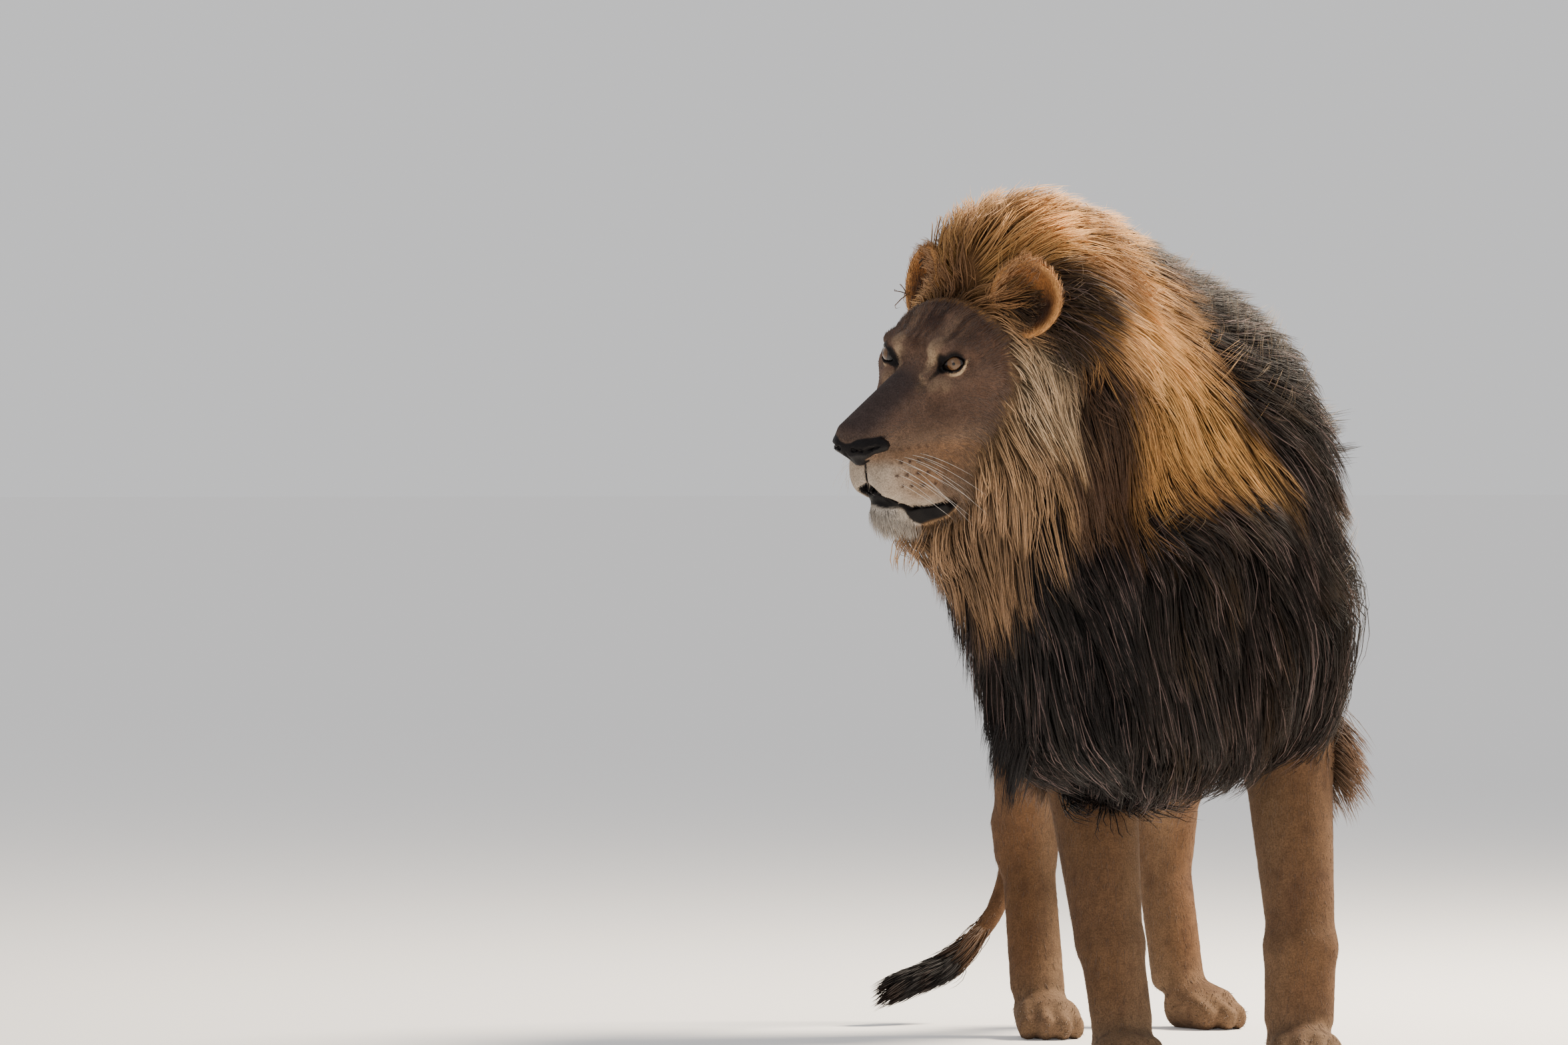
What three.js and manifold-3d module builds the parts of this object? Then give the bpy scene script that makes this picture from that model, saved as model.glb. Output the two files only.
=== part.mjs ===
// A male lion, standing with its head turned to its right, as separate closed solids of a life-size model.
// Millimetres. +Z is up, the lion faces -Y and its left side is +X. The origin is on the floor, at the middle of
// the model's bounding box.
//
// Every part is a round-skinned form: a field made of tapered limbs with elliptical sections, blended into each
// other, is cut by rays sent out from a line inside the part. Neighbours are then trimmed to leave a thin gap.

import * as THREE from "three";
import { mergeVertices } from "three/addons/utils/BufferGeometryUtils.js";
import Module from "manifold-3d";

const wasm = await Module();
wasm.setup();

// ---- driving dimensions ------------------------------------------------------------------------------------

const GAP = 0.35; // between neighbouring pieces
const HEAD_AT = [-490, -352, 1125]; // midway between the eyes
const HEAD_TURN = 46; // degrees, to the lion's right
const HEAD_PITCH = 10; // degrees, nose down
const HEAD_ROLL = 7; // degrees, left ear down
const EYE_RADIUS = 19;
const EYE_AT = [58, 7, 0]; // of the left eye, in the head's frame
const EAR_AT = [102, 127, 84]; // of the left ear's middle, in the head's frame
const EAR_TURN = 28; // degrees, outwards

// ---- forms: each is a tapered limb, "wide" across and "deep" square to that at its two ends ------------------

const TRUNK = [
  { name: "chest", from: [-17, 60, 820], to: [-17, 420, 815], wide: [165, 190], deep: [235, 240], cap: 130 },
  { name: "brisket", from: [-20, -60, 740], to: [-18, 150, 660], wide: [115, 135], deep: [120, 110], cap: 80 },
  { name: "barrel", from: [-17, 420, 815], to: [-20, 800, 835], wide: [190, 160], deep: [238, 190], cap: 120 },
  { name: "belly", from: [-20, 640, 765], to: [-20, 960, 810], wide: [145, 110], deep: [175, 110], cap: 90 },
  { name: "loin", from: [-20, 780, 900], to: [-20, 1110, 925], wide: [130, 122], deep: [140, 122], cap: 90 },
  { name: "withers", from: [-17, 60, 1005], to: [-17, 280, 995], wide: [95, 85], deep: [100, 75], cap: 80 },
  { name: "rump", from: [-20, 1080, 905], to: [-20, 1225, 850], wide: [132, 122], deep: [136, 140], cap: 76 },
  { name: "belly_fringe", from: [-18, 120, 610], to: [-18, 720, 630], wide: [60, 30], deep: [85, 45], cap: 60 },
];

const NECK_MANE = [
  { name: "neck", from: [-255, -146, 1125], to: [-40, 60, 990], wide: [205, 235], deep: [250, 262], cap: 150 },
  { name: "shoulders", from: [-8, -20, 842], to: [-5, 240, 850], wide: [236, 222], deep: [345, 305], cap: 170 },
  { name: "throat", from: [-360, -275, 950], to: [-268, -165, 570], wide: [150, 112], deep: [140, 120], cap: 90 },
  { name: "chest", from: [-135, -130, 820], to: [-82, -55, 545], wide: [235, 190], deep: [180, 165], cap: 130 },
];

// The part of the mane that turns with the head, in the head's frame.
const HEAD_MANE = [
  { name: "crest", from: [0, 118, 108], to: [0, 285, 110], wide: [80, 150], deep: [100, 108], cap: 62 },
  { name: "ruff", from: [0, 122, -70], to: [0, 260, -30], wide: [158, 205], deep: [122, 215], cap: 84 },
  { name: "beard", from: [0, -40, -268], to: [0, 120, -220], wide: [52, 140], deep: [40, 120], cap: 60 },
];

const FORELEG = {
  left: [
    { name: "upper_arm", from: [128, -20, 750], to: [139, 100, 520], wide: [92, 78], deep: [115, 92], cap: 80 },
    { name: "forearm", from: [142, 92, 500], to: [153, 20, 215], wide: [76, 59], deep: [84, 50], cap: 50 },
    { name: "wrist", from: [151, 14, 195], to: [147, 2, 90], wide: [62, 61], deep: [54, 46], cap: 40 },
  ],
  right: [
    { name: "upper_arm", from: [-170, -45, 750], to: [-177, 80, 520], wide: [92, 84], deep: [115, 92], cap: 80 },
    { name: "forearm", from: [-176, 72, 500], to: [-156, -5, 225], wide: [80, 60], deep: [84, 48], cap: 50 },
    { name: "wrist", from: [-150, -10, 195], to: [-137, -22, 90], wide: [55, 54], deep: [52, 44], cap: 40 },
  ],
};

const HINDLEG = {
  left: [
    { name: "thigh", from: [72, 1110, 870], to: [124, 1010, 650], wide: [88, 80], deep: [165, 118], cap: 90 },
    { name: "buttock", from: [62, 1200, 830], to: [90, 1185, 640], wide: [74, 62], deep: [78, 66], cap: 60 },
    { name: "hamstring", from: [86, 1168, 690], to: [114, 1168, 500], wide: [60, 44], deep: [76, 40], cap: 50 },
    { name: "shank", from: [132, 1015, 610], to: [112, 1285, 355], wide: [76, 56], deep: [92, 52], cap: 50 },
    { name: "hock", from: [110, 1302, 350], to: [108, 1308, 300], wide: [54, 53], deep: [50, 48], cap: 36 },
    { name: "cannon", from: [108, 1298, 300], to: [130, 1258, 85], wide: [51, 50], deep: [46, 44], cap: 36 },
  ],
  right: [
    { name: "thigh", from: [-112, 1095, 870], to: [-155, 935, 650], wide: [88, 80], deep: [165, 118], cap: 90 },
    { name: "buttock", from: [-98, 1195, 830], to: [-130, 1125, 640], wide: [74, 62], deep: [78, 66], cap: 60 },
    { name: "hamstring", from: [-122, 1110, 700], to: [-148, 1040, 490], wide: [60, 44], deep: [76, 40], cap: 50 },
    { name: "shank", from: [-160, 925, 610], to: [-150, 1095, 355], wide: [72, 54], deep: [92, 52], cap: 50 },
    { name: "hock", from: [-149, 1110, 350], to: [-146, 1115, 300], wide: [52, 50], deep: [50, 48], cap: 36 },
    { name: "cannon", from: [-143, 1105, 300], to: [-136, 1030, 85], wide: [49, 51], deep: [46, 44], cap: 36 },
  ],
};

// Paws: where each heel stands, the way its toes point (degrees from -Y, to the lion's left) and its size.
const PAWS = {
  forepaw_left: { at: [147, -12], turn: 5, size: 1.06 },
  forepaw_right: { at: [-134, -34], turn: 2, size: 1.04 },
  hindpaw_left: { at: [154, 1236], turn: 44, size: 0.96 },
  hindpaw_right: { at: [-129, 1010], turn: 6, size: 0.96 },
};

const TAIL_LINE = [
  [-20, 1230, 925], [-20, 1325, 885], [-32, 1400, 770], [-78, 1436, 600], [-112, 1442, 440],
  [-126, 1436, 310], [-146, 1426, 215], [-190, 1410, 145], [-245, 1390, 98], [-316, 1360, 72],
];
const TAIL_RADIUS = [42, 36, 30, 27, 24, 22, 21, 20, 20, 20];
const MANE_CUT = [-120, -60, 872]; // the plane between the neck's mane and the chest's
const MANE_CUT_WAY = [-0.34, -0.31, 0.9];
const TUFT_FROM = 0.86; // share of the tail's length where its dark tuft begins
const ELBOW_TUFTS = {
  left: { from: [232, 100, 520], to: [250, 128, 448], wide: [32, 24], deep: [38, 30], cap: 34 },
  right: { from: [-236, 92, 520], to: [-232, 120, 460], wide: [24, 18], deep: [34, 26], cap: 30 },
};

// The head, in its own frame: x to its left, y back, z up, from the point midway between the eyes.
const HEAD = [
  { name: "skull", from: [0, 62, 2], to: [0, 150, 0], wide: [104, 100], deep: [76, 80], cap: 56 },
  { name: "forehead", from: [0, 14, 4], to: [0, 90, 34], wide: [60, 72], deep: [38, 46], cap: 26 },
  { name: "bridge", from: [0, 8, -24], to: [0, -166, -98], wide: [40, 36], deep: [36, 38], cap: 20 },
  { name: "snout", from: [0, 20, -104], to: [0, -106, -146], wide: [86, 47], deep: [86, 50], cap: 30 },
  { name: "chin", from: [0, -92, -222], to: [0, 10, -230], wide: [31, 60], deep: [34, 40], cap: 23 },
  { name: "throat", from: [0, 40, -170], to: [0, 130, -110], wide: [70, 84], deep: [70, 84], cap: 50 },
  ...[1, -1].flatMap((s) => [
    { name: "brow", from: [s * 36, -4, 20], to: [s * 76, 24, 18], wide: [17, 18], deep: [15, 15], cap: 16 },
    { name: "cheekbone", from: [s * 50, -8, -38], to: [s * 98, 48, -28], wide: [22, 24], deep: [22, 30], cap: 22 },
    { name: "pad", from: [s * 20, -118, -156], to: [s * 46, -56, -166], wide: [26, 40], deep: [38, 48], cap: 26 },
    { name: "cheek", from: [s * 64, 8, -92], to: [s * 91, 92, -85], wide: [34, 34], deep: [54, 84], cap: 36 },
    { name: "jowl", from: [s * 46, -24, -208], to: [s * 70, 90, -165], wide: [32, 40], deep: [38, 66], cap: 30 },
  ]),
];

// Outlines in (y, z) of the head's frame: the lower jaw, and the open space in front of the mane.
const JAW_OUTLINE = [
  [-230, -188], [-134, -188], [-119, -199], [-96, -212], [-50, -206], [-10, -208], [46, -360], [-230, -360],
];
const FACE_OUTLINE = [[-400, 78], [62, 78], [76, 0], [16, -120], [-8, -215], [-62, -255], [-400, -330]];

// ---- fields ------------------------------------------------------------------------------------------------

// A form ready to be measured: its axis, the direction across it and the one square to both.
function readyForm(form, across) {
  const from = new THREE.Vector3(...form.from);
  const run = new THREE.Vector3(...form.to).sub(from);
  const along = run.clone().normalize();
  const side = across.clone().addScaledVector(along, -across.dot(along)).normalize();
  const square = along.clone().cross(side);
  return { ...form, from, run, length2: run.lengthSq(), along, side, square };
}

const mix = (pair, t) => pair[0] + (pair[1] - pair[0]) * t;

// About how far a point is from a form's surface, negative inside it.
function toForm(form, point) {
  const offset = point.clone().sub(form.from);
  const t = Math.min(1, Math.max(0, offset.dot(form.run) / form.length2));
  offset.addScaledVector(form.run, -t);
  const d = [offset.dot(form.side), offset.dot(form.square), offset.dot(form.along)];
  const r = [mix(form.wide, t), mix(form.deep, t), form.cap];
  const k0 = Math.hypot(d[0] / r[0], d[1] / r[1], d[2] / r[2]);
  const k1 = Math.hypot(d[0] / r[0] ** 2, d[1] / r[1] ** 2, d[2] / r[2] ** 2);
  return k1 < 1e-9 ? -Math.min(...r) : (k0 * (k0 - 1)) / k1;
}

// The forms joined, with each meeting rounded over the blend width.
function field(forms, blend = 40, across = new THREE.Vector3(1, 0, 0)) {
  const ready = forms.map((form) => readyForm(form, across));
  return (point) =>
    ready.reduce((sum, form) => {
      const d = toForm(form, point);
      const near = Math.max(blend - Math.abs(sum - d), 0) / blend;
      return Math.min(sum, d) - (near * near * blend) / 4;
    }, 1e6);
}

// How far from an origin a ray leaves the field's surface.
function reach(measure, origin, direction) {
  const STEP = 6;
  const FURTHEST = 600;
  const at = (r) => measure(origin.clone().addScaledVector(direction, r));
  let far = STEP;
  while (far < FURTHEST && at(far) < 0) far += STEP;
  let near = far - STEP;
  for (let i = 0; i < 12; i++) {
    const middle = (near + far) / 2;
    if (at(middle) < 0) near = middle;
    else far = middle;
  }
  return near;
}

// ---- surfaces ----------------------------------------------------------------------------------------------

// A closed surface from rings of points between two end points.
function closedRings(start, rings, end) {
  const around = rings[0].length;
  const places = [start, ...rings.flat(), end].flatMap((p) => [p.x, p.y, p.z]);
  const faces = [];
  const at = (ring, i) => 1 + ring * around + (i % around);
  const last = 1 + rings.length * around;
  for (let i = 0; i < around; i++) {
    faces.push(0, at(0, i + 1), at(0, i));
    faces.push(last, at(rings.length - 1, i), at(rings.length - 1, i + 1));
    for (let ring = 0; ring + 1 < rings.length; ring++) {
      const [a, b, c, d] = [at(ring, i), at(ring, i + 1), at(ring + 1, i + 1), at(ring + 1, i)];
      faces.push(a, b, c, a, c, d);
    }
  }
  const geometry = new THREE.BufferGeometry();
  geometry.setAttribute("position", new THREE.Float32BufferAttribute(places, 3));
  geometry.setIndex(faces);
  return geometry;
}

// Rays sent out square to a line, fanning over its two ends, give the skin of a field as one closed surface.
function skinOf(measure, line, { around, along, caps, grow = 0, across = new THREE.Vector3(1, 0, 0) }) {
  const curve = new THREE.CatmullRomCurve3(line.map((p) => new THREE.Vector3(...p)), false, "centripetal");
  const send = (t, tilt, turn) => {
    const ahead = curve.getTangentAt(t);
    const side = across.clone().addScaledVector(ahead, -across.dot(ahead)).normalize();
    const up = ahead.clone().cross(side);
    const direction = ahead
      .multiplyScalar(-Math.cos(tilt))
      .addScaledVector(side, Math.cos(turn) * Math.sin(tilt))
      .addScaledVector(up, Math.sin(turn) * Math.sin(tilt));
    const origin = curve.getPointAt(t);
    return origin.clone().addScaledVector(direction, reach(measure, origin, direction) + grow);
  };
  const stations = [];
  for (let i = 1; i <= caps; i++) stations.push([0, ((i / caps) * Math.PI) / 2]);
  for (let i = 1; i < along; i++) stations.push([i / along, Math.PI / 2]);
  for (let i = caps; i >= 1; i--) stations.push([1, Math.PI - ((i / caps) * Math.PI) / 2]);
  const rings = stations.map(([t, tilt]) =>
    Array.from({ length: around }, (_, i) => send(t, tilt, (i / around) * 2 * Math.PI)),
  );
  return closedRings(send(0, 0, 0), rings, send(1, Math.PI, 0));
}

// ---- solids ------------------------------------------------------------------------------------------------

function toSolid(geometry) {
  const bare = new THREE.BufferGeometry().setAttribute("position", geometry.getAttribute("position"));
  if (geometry.index) bare.setIndex(geometry.index);
  const merged = mergeVertices(bare, 1e-3);
  const make = (triVerts) =>
    new wasm.Manifold(
      new wasm.Mesh({ numProp: 3, vertProperties: merged.attributes.position.array, triVerts }),
    );
  const faces = new Uint32Array(merged.index.array);
  const solid = make(faces);
  return solid.volume() > 0 ? solid : make(faces.reverse());
}

function toGeometry(solid) {
  const mesh = solid.getMesh();
  const geometry = new THREE.BufferGeometry();
  const places = new Float32Array(mesh.numVert * 3);
  for (let i = 0; i < mesh.numVert; i++) {
    places.set(mesh.vertProperties.subarray(i * mesh.numProp, i * mesh.numProp + 3), i * 3);
  }
  geometry.setAttribute("position", new THREE.BufferAttribute(places, 3));
  geometry.setIndex(new THREE.BufferAttribute(new Uint32Array(mesh.triVerts), 1));
  geometry.computeVertexNormals();
  return geometry;
}

const largest = (solid) => solid.decompose().sort((a, b) => b.volume() - a.volume())[0];

// Everything on the side of a plane that its normal points to, less half a gap.
function halfSpace(point, normal) {
  const SIZE = 3000;
  const box = new THREE.BoxGeometry(SIZE, SIZE, SIZE);
  box.translate(0, 0, SIZE / 2 + GAP / 2);
  const turn = new THREE.Quaternion().setFromUnitVectors(
    new THREE.Vector3(0, 0, 1),
    new THREE.Vector3(...normal).normalize(),
  );
  box.applyQuaternion(turn);
  box.translate(...point);
  return toSolid(box);
}

const above = (solid, point, normal) => largest(solid.intersect(halfSpace(point, normal)));
const below = (solid, point, normal) => largest(solid.intersect(halfSpace(point, normal.map((n) => -n))));

// ---- the parts ---------------------------------------------------------------------------------------------

const floor = (() => {
  const box = new THREE.BoxGeometry(4000, 6000, 3000);
  box.translate(0, 500, 1500);
  return toSolid(box);
})();

const headFrame = (() => {
  const turn = THREE.MathUtils.degToRad(HEAD_TURN);
  const roll = THREE.MathUtils.degToRad(HEAD_ROLL);
  return new THREE.Matrix4()
    .makeTranslation(...HEAD_AT)
    .multiply(new THREE.Matrix4().makeRotationZ(-turn))
    .multiply(new THREE.Matrix4().makeRotationX(THREE.MathUtils.degToRad(HEAD_PITCH)))
    .multiply(new THREE.Matrix4().makeRotationY(roll));
})();

const TRUNK_LINE = [[-17, 60, 820], [-17, 420, 820], [-20, 800, 850], [-20, 1150, 885]];
// The line that the mane is drawn round bends in an even arc, so that its rings never cross.
const MANE_LINE = [[-121, -39, 627], [-133, -48, 757], [-168, -78, 886], [-226, -125, 1000], [-300, -185, 1090]];

const trunkSkin = (grow) => toSolid(skinOf(field(TRUNK, 70), TRUNK_LINE, { around: 18, along: 10, caps: 3, grow }));

function maneSkin(grow) {
  const inHead = (p) => new THREE.Vector3(...p).applyMatrix4(headFrame).toArray();
  const turned = HEAD_MANE.map((form) => ({ ...form, from: inHead(form.from), to: inHead(form.to) }));
  const measure = field([...NECK_MANE, ...turned], 70);
  return toSolid(skinOf(measure, MANE_LINE, { around: 24, along: 9, caps: 5, grow }));
}

// One paw's forms: the pad, and four toes in an arc in front of it.
function pawForms({ at, turn, size }) {
  const angle = THREE.MathUtils.degToRad(turn);
  const place = (x, y, z) => [
    at[0] + size * (x * Math.cos(angle) - y * Math.sin(angle)),
    at[1] + size * (x * Math.sin(angle) + y * Math.cos(angle)),
    size * z,
  ];
  const sized = (pair) => pair.map((v) => v * size);
  const pad = {
    name: "pad", from: place(0, 18, 46), to: place(0, -40, 34), wide: sized([50, 55]), deep: sized([52, 40]), cap: 30,
  };
  const toes = [-42, -15, 15, 42].map((x) => {
    const back = Math.abs(x) > 20 ? 22 : 0;
    return {
      name: "toe", from: place(x * 0.9, -52 + back, 34), to: place(x, -86 + back, 20),
      wide: sized([17, 18]), deep: sized([30, 26]), cap: 18 * size,
    };
  });
  return [pad, ...toes];
}

function pawSolid(paw) {
  const angle = THREE.MathUtils.degToRad(paw.turn);
  const toward = (d) => [paw.at[0] + d * Math.sin(angle), paw.at[1] - d * Math.cos(angle), 34];
  const across = new THREE.Vector3(Math.cos(angle), Math.sin(angle), 0);
  const measure = field(pawForms(paw), 14, across);
  return toSolid(skinOf(measure, [toward(-5), toward(60)], { around: 16, along: 2, caps: 3, across })).intersect(floor);
}

function legSolid(forms, blend, line, paw, grow = 0) {
  const tube = toSolid(skinOf(field(forms, blend), line, { around: 12, along: 12, caps: 2, grow }));
  return tube.intersect(floor).add(pawSolid(paw));
}

function headSolid(grow) {
  const line = [[0, 120, -20], [0, 40, -62], [0, -70, -128], [0, -118, -165]];
  const skin = skinOf(field(HEAD, 22), line, { around: 24, along: 12, caps: 5, grow });
  return toSolid(skin.applyMatrix4(headFrame));
}

function ball(center, radius, segments) {
  const sphere = new THREE.SphereGeometry(radius, segments, segments / 2);
  sphere.translate(...center);
  return toSolid(sphere.applyMatrix4(headFrame));
}

// An ear: a round cup, open towards the front and side, with a thick furred rim. "Front" is how far the hollow
// goes in, and where its lip stands.
function ear(side, { width, height, back, front, around, steps }) {
  const point = (share, turn, [depth, stand]) =>
    new THREE.Vector3(
      width * share * Math.cos(turn),
      depth * (1 - share * share) + stand,
      height * share * Math.sin(turn),
    );
  const ring = (share, face) =>
    Array.from({ length: around }, (_, i) => point(share, (i / around) * 2 * Math.PI, face));
  const rings = [];
  for (let i = 1; i <= steps; i++) rings.push(ring(i / steps, back));
  for (let i = steps; i >= 1; i--) rings.push(ring((i / steps) * 0.92, front));
  const shell = closedRings(point(0, 0, back), rings, point(0, 0, front));
  shell.rotateX(THREE.MathUtils.degToRad(-12));
  shell.rotateZ(THREE.MathUtils.degToRad(side * EAR_TURN));
  shell.translate(side * EAR_AT[0], EAR_AT[1], EAR_AT[2]);
  return toSolid(shell.applyMatrix4(headFrame));
}
const EAR = { width: 54, height: 58, back: [34, 8], front: [34, 0], around: 12, steps: 3 };
const EAR_ROOM = { width: 58, height: 62, back: [34, 12], front: [0, -70], around: 12, steps: 2 };

// The nose: a wedge of bare skin, broad above and narrow below, over the front of the muzzle.
function noseSolid(grow) {
  const forms = [
    { name: "tip", from: [-15, -176, -101], to: [15, -176, -101], wide: [14, 14], deep: [14, 14], cap: 14 },
    { name: "septum", from: [0, -172, -106], to: [0, -154, -130], wide: [18, 11], deep: [18, 11], cap: 8 },
    { name: "wing", from: [26, -170, -104], to: [44, -136, -102], wide: [12, 9], deep: [13, 10], cap: 8 },
    { name: "wing", from: [-26, -170, -104], to: [-44, -136, -102], wide: [12, 9], deep: [13, 10], cap: 8 },
  ];
  const measure = field(forms, 14, new THREE.Vector3(0, 1, 0));
  const line = [[0, -170, -103], [0, -156, -125]];
  const skin = skinOf(measure, line, { around: 12, along: 3, caps: 2, grow });
  return toSolid(skin.applyMatrix4(headFrame));
}

// A block across the whole head with an outline in (y, z) of the head's frame, moved on by a share of the gap.
function headBlock(outline, gap = 0) {
  const WIDTH = 1200;
  const shape = new THREE.Shape(outline.map(([y, z]) => new THREE.Vector2(y + gap, z + gap)));
  const block = new THREE.ExtrudeGeometry(shape, { depth: WIDTH, bevelEnabled: false });
  block.translate(0, 0, -WIDTH / 2);
  const turned = new THREE.Matrix4().makeBasis(
    new THREE.Vector3(0, 1, 0), new THREE.Vector3(0, 0, 1), new THREE.Vector3(1, 0, 0),
  );
  return toSolid(block.applyMatrix4(turned).applyMatrix4(headFrame));
}

function tailSolid(from, to, radius, sides) {
  const curve = new THREE.CatmullRomCurve3(TAIL_LINE.map((p) => new THREE.Vector3(...p)), false, "centripetal");
  const steps = Math.max(5, Math.round((to - from) * 24));
  const rings = [];
  const across = new THREE.Vector3(1, 0, 0);
  for (let i = 0; i <= steps; i++) {
    const t = from + ((to - from) * i) / steps;
    const ahead = curve.getTangentAt(t);
    const side = across.clone().addScaledVector(ahead, -across.dot(ahead)).normalize();
    const up = ahead.clone().cross(side);
    rings.push(
      Array.from({ length: sides }, (_, k) => {
        const turn = (k / sides) * 2 * Math.PI;
        const r = radius(t);
        return curve.getPointAt(t).addScaledVector(side, r * Math.cos(turn)).addScaledVector(up, r * Math.sin(turn));
      }),
    );
  }
  return toSolid(closedRings(curve.getPointAt(from), rings, curve.getPointAt(to)));
}

const tailRadius = (t) => {
  const place = t * (TAIL_RADIUS.length - 1);
  const i = Math.min(TAIL_RADIUS.length - 2, Math.floor(place));
  return mix([TAIL_RADIUS[i], TAIL_RADIUS[i + 1]], place - i);
};

function tuftSolid(form) {
  return toSolid(skinOf(field([form]), [form.from, form.to], { around: 10, along: 3, caps: 3 }));
}

// ---- assembly ----------------------------------------------------------------------------------------------

const solids = {};
const headGap = headSolid(GAP);
const mane = maneSkin(0);
const trunkGap = trunkSkin(GAP);
const maneGap = maneSkin(GAP);
const eyePlace = (s) => [s * EYE_AT[0], EYE_AT[1], EYE_AT[2]];

solids.eye_left = ball(eyePlace(1), EYE_RADIUS, 12);
solids.eye_right = ball(eyePlace(-1), EYE_RADIUS, 12);
let bareHead = headSolid(0);
for (const s of [1, -1]) {
  bareHead = bareHead.subtract(ball([s * 62, -16, -1], 24, 12)).subtract(ball(eyePlace(s), EYE_RADIUS + GAP, 12));
}
solids.nose = largest(noseSolid(0).subtract(headGap));
solids.jaw = largest(bareHead.intersect(headBlock(JAW_OUTLINE)));
solids.head = largest(bareHead.subtract(headBlock(JAW_OUTLINE, GAP)));
solids.ear_left = largest(ear(1, EAR).subtract(headGap));
solids.ear_right = largest(ear(-1, EAR).subtract(headGap));
const maneBody = mane
  .subtract(headBlock(FACE_OUTLINE))
  .subtract(headGap)
  .subtract(ear(1, EAR_ROOM))
  .subtract(ear(-1, EAR_ROOM));
solids.neck_mane = above(maneBody, MANE_CUT, MANE_CUT_WAY);
solids.chest_mane = below(maneBody, MANE_CUT, MANE_CUT_WAY);
solids.trunk = largest(trunkSkin(0).subtract(maneGap));

const FORE_LINES = {
  left: [[130, 30, 720], [138, 90, 520], [143, 50, 350], [145, 14, 190], [142, 4, 80]],
  right: [[-172, 10, 720], [-176, 66, 520], [-163, 28, 350], [-147, -10, 190], [-138, -20, 80]],
};
const HIND_LINES = {
  left: [[72, 1110, 870], [118, 1076, 650], [122, 1150, 480], [110, 1302, 335], [118, 1280, 190], [130, 1262, 90]],
  right: [[-112, 1095, 870], [-150, 1005, 650], [-156, 1015, 480], [-148, 1108, 335], [-140, 1072, 190], [-135, 1034, 90]],
};
for (const side of ["left", "right"]) {
  const foreleg = (grow) => legSolid(FORELEG[side], 30, FORE_LINES[side], PAWS["forepaw_" + side], grow);
  const fore = foreleg(0).subtract(maneGap).subtract(trunkGap);
  solids["foreleg_" + side] = above(fore, [0, 0, 92], [0, 0, 1]);
  solids["forepaw_" + side] = below(fore, [0, 0, 92], [0, 0, 1]);
  solids["elbow_tuft_" + side] = largest(
    tuftSolid(ELBOW_TUFTS[side]).subtract(foreleg(GAP)).subtract(maneGap).subtract(trunkGap),
  );
  const hind = legSolid(HINDLEG[side], 36, HIND_LINES[side], PAWS["hindpaw_" + side]).subtract(trunkGap);
  const hock = HIND_LINES[side][3];
  const upper = above(hind, hock, [0, -0.45, 0.9]);
  solids["thigh_" + side] = above(upper, [0, HIND_LINES[side][1][1] + 20, 560], [0, 0.1, 1]);
  solids["shank_" + side] = below(upper, [0, HIND_LINES[side][1][1] + 20, 560], [0, 0.1, 1]);
  const lower = below(hind, hock, [0, -0.45, 0.9]);
  solids["cannon_" + side] = above(lower, [0, 0, 84], [0, 0, 1]);
  solids["hindpaw_" + side] = below(lower, [0, 0, 84], [0, 0, 1]);
}
solids.tail = largest(tailSolid(0, TUFT_FROM, tailRadius, 8).subtract(trunkGap));
solids.tail_tuft = tailSolid(TUFT_FROM + 0.0005, 1, (t) => {
  const u = (t - TUFT_FROM) / (1 - TUFT_FROM);
  return 25 + 8 * Math.sin(Math.PI * Math.min(1, u * 1.1)) - 12 * u * u;
}, 8);

const COLOURS = {
  coat: 0xa5794d, face: 0x8f6f4f, mane_light: 0x9a6a35, mane_dark: 0x2a1f1a, nose: 0x2a1f20, eye: 0xb07a35,
};
const LOOK = {
  head: "face", jaw: "face", nose: "nose", eye_left: "eye", eye_right: "eye", ear_left: "face", ear_right: "face",
  neck_mane: "mane_light", chest_mane: "mane_dark", tail_tuft: "mane_dark", elbow_tuft_left: "mane_light", elbow_tuft_right: "mane_light",
};

const SLIVER = 0.05; // corners closer than this are joined
const lion = new THREE.Group();
const whole = new THREE.Box3();
for (const [name, cut] of Object.entries(solids)) {
  const solid = largest(cut.simplify(SLIVER));
  const material = new THREE.MeshStandardMaterial({ color: COLOURS[LOOK[name] ?? "coat"], roughness: 0.85, metalness: 0 });
  const mesh = new THREE.Mesh(toGeometry(solid), material);
  mesh.name = name;
  mesh.geometry.computeBoundingBox();
  whole.union(mesh.geometry.boundingBox);
  lion.add(mesh);
}
const middle = whole.getCenter(new THREE.Vector3());
lion.position.set(-middle.x, -middle.y, -whole.min.z);

export default lion;
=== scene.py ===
"""A life-size standing male lion: one skin drawn over the frame's solids, two eyes and a coat of tufts.

The tables of forms are in the lion's own drawing, in millimetres, and everything that is built is in metres.
In the functions, p is a place in the drawing, q is the same place in the head's frame, and n is a normal.
"""

import math

import bmesh
import bpy
import numpy as np
from mathutils import Matrix, Vector


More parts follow.
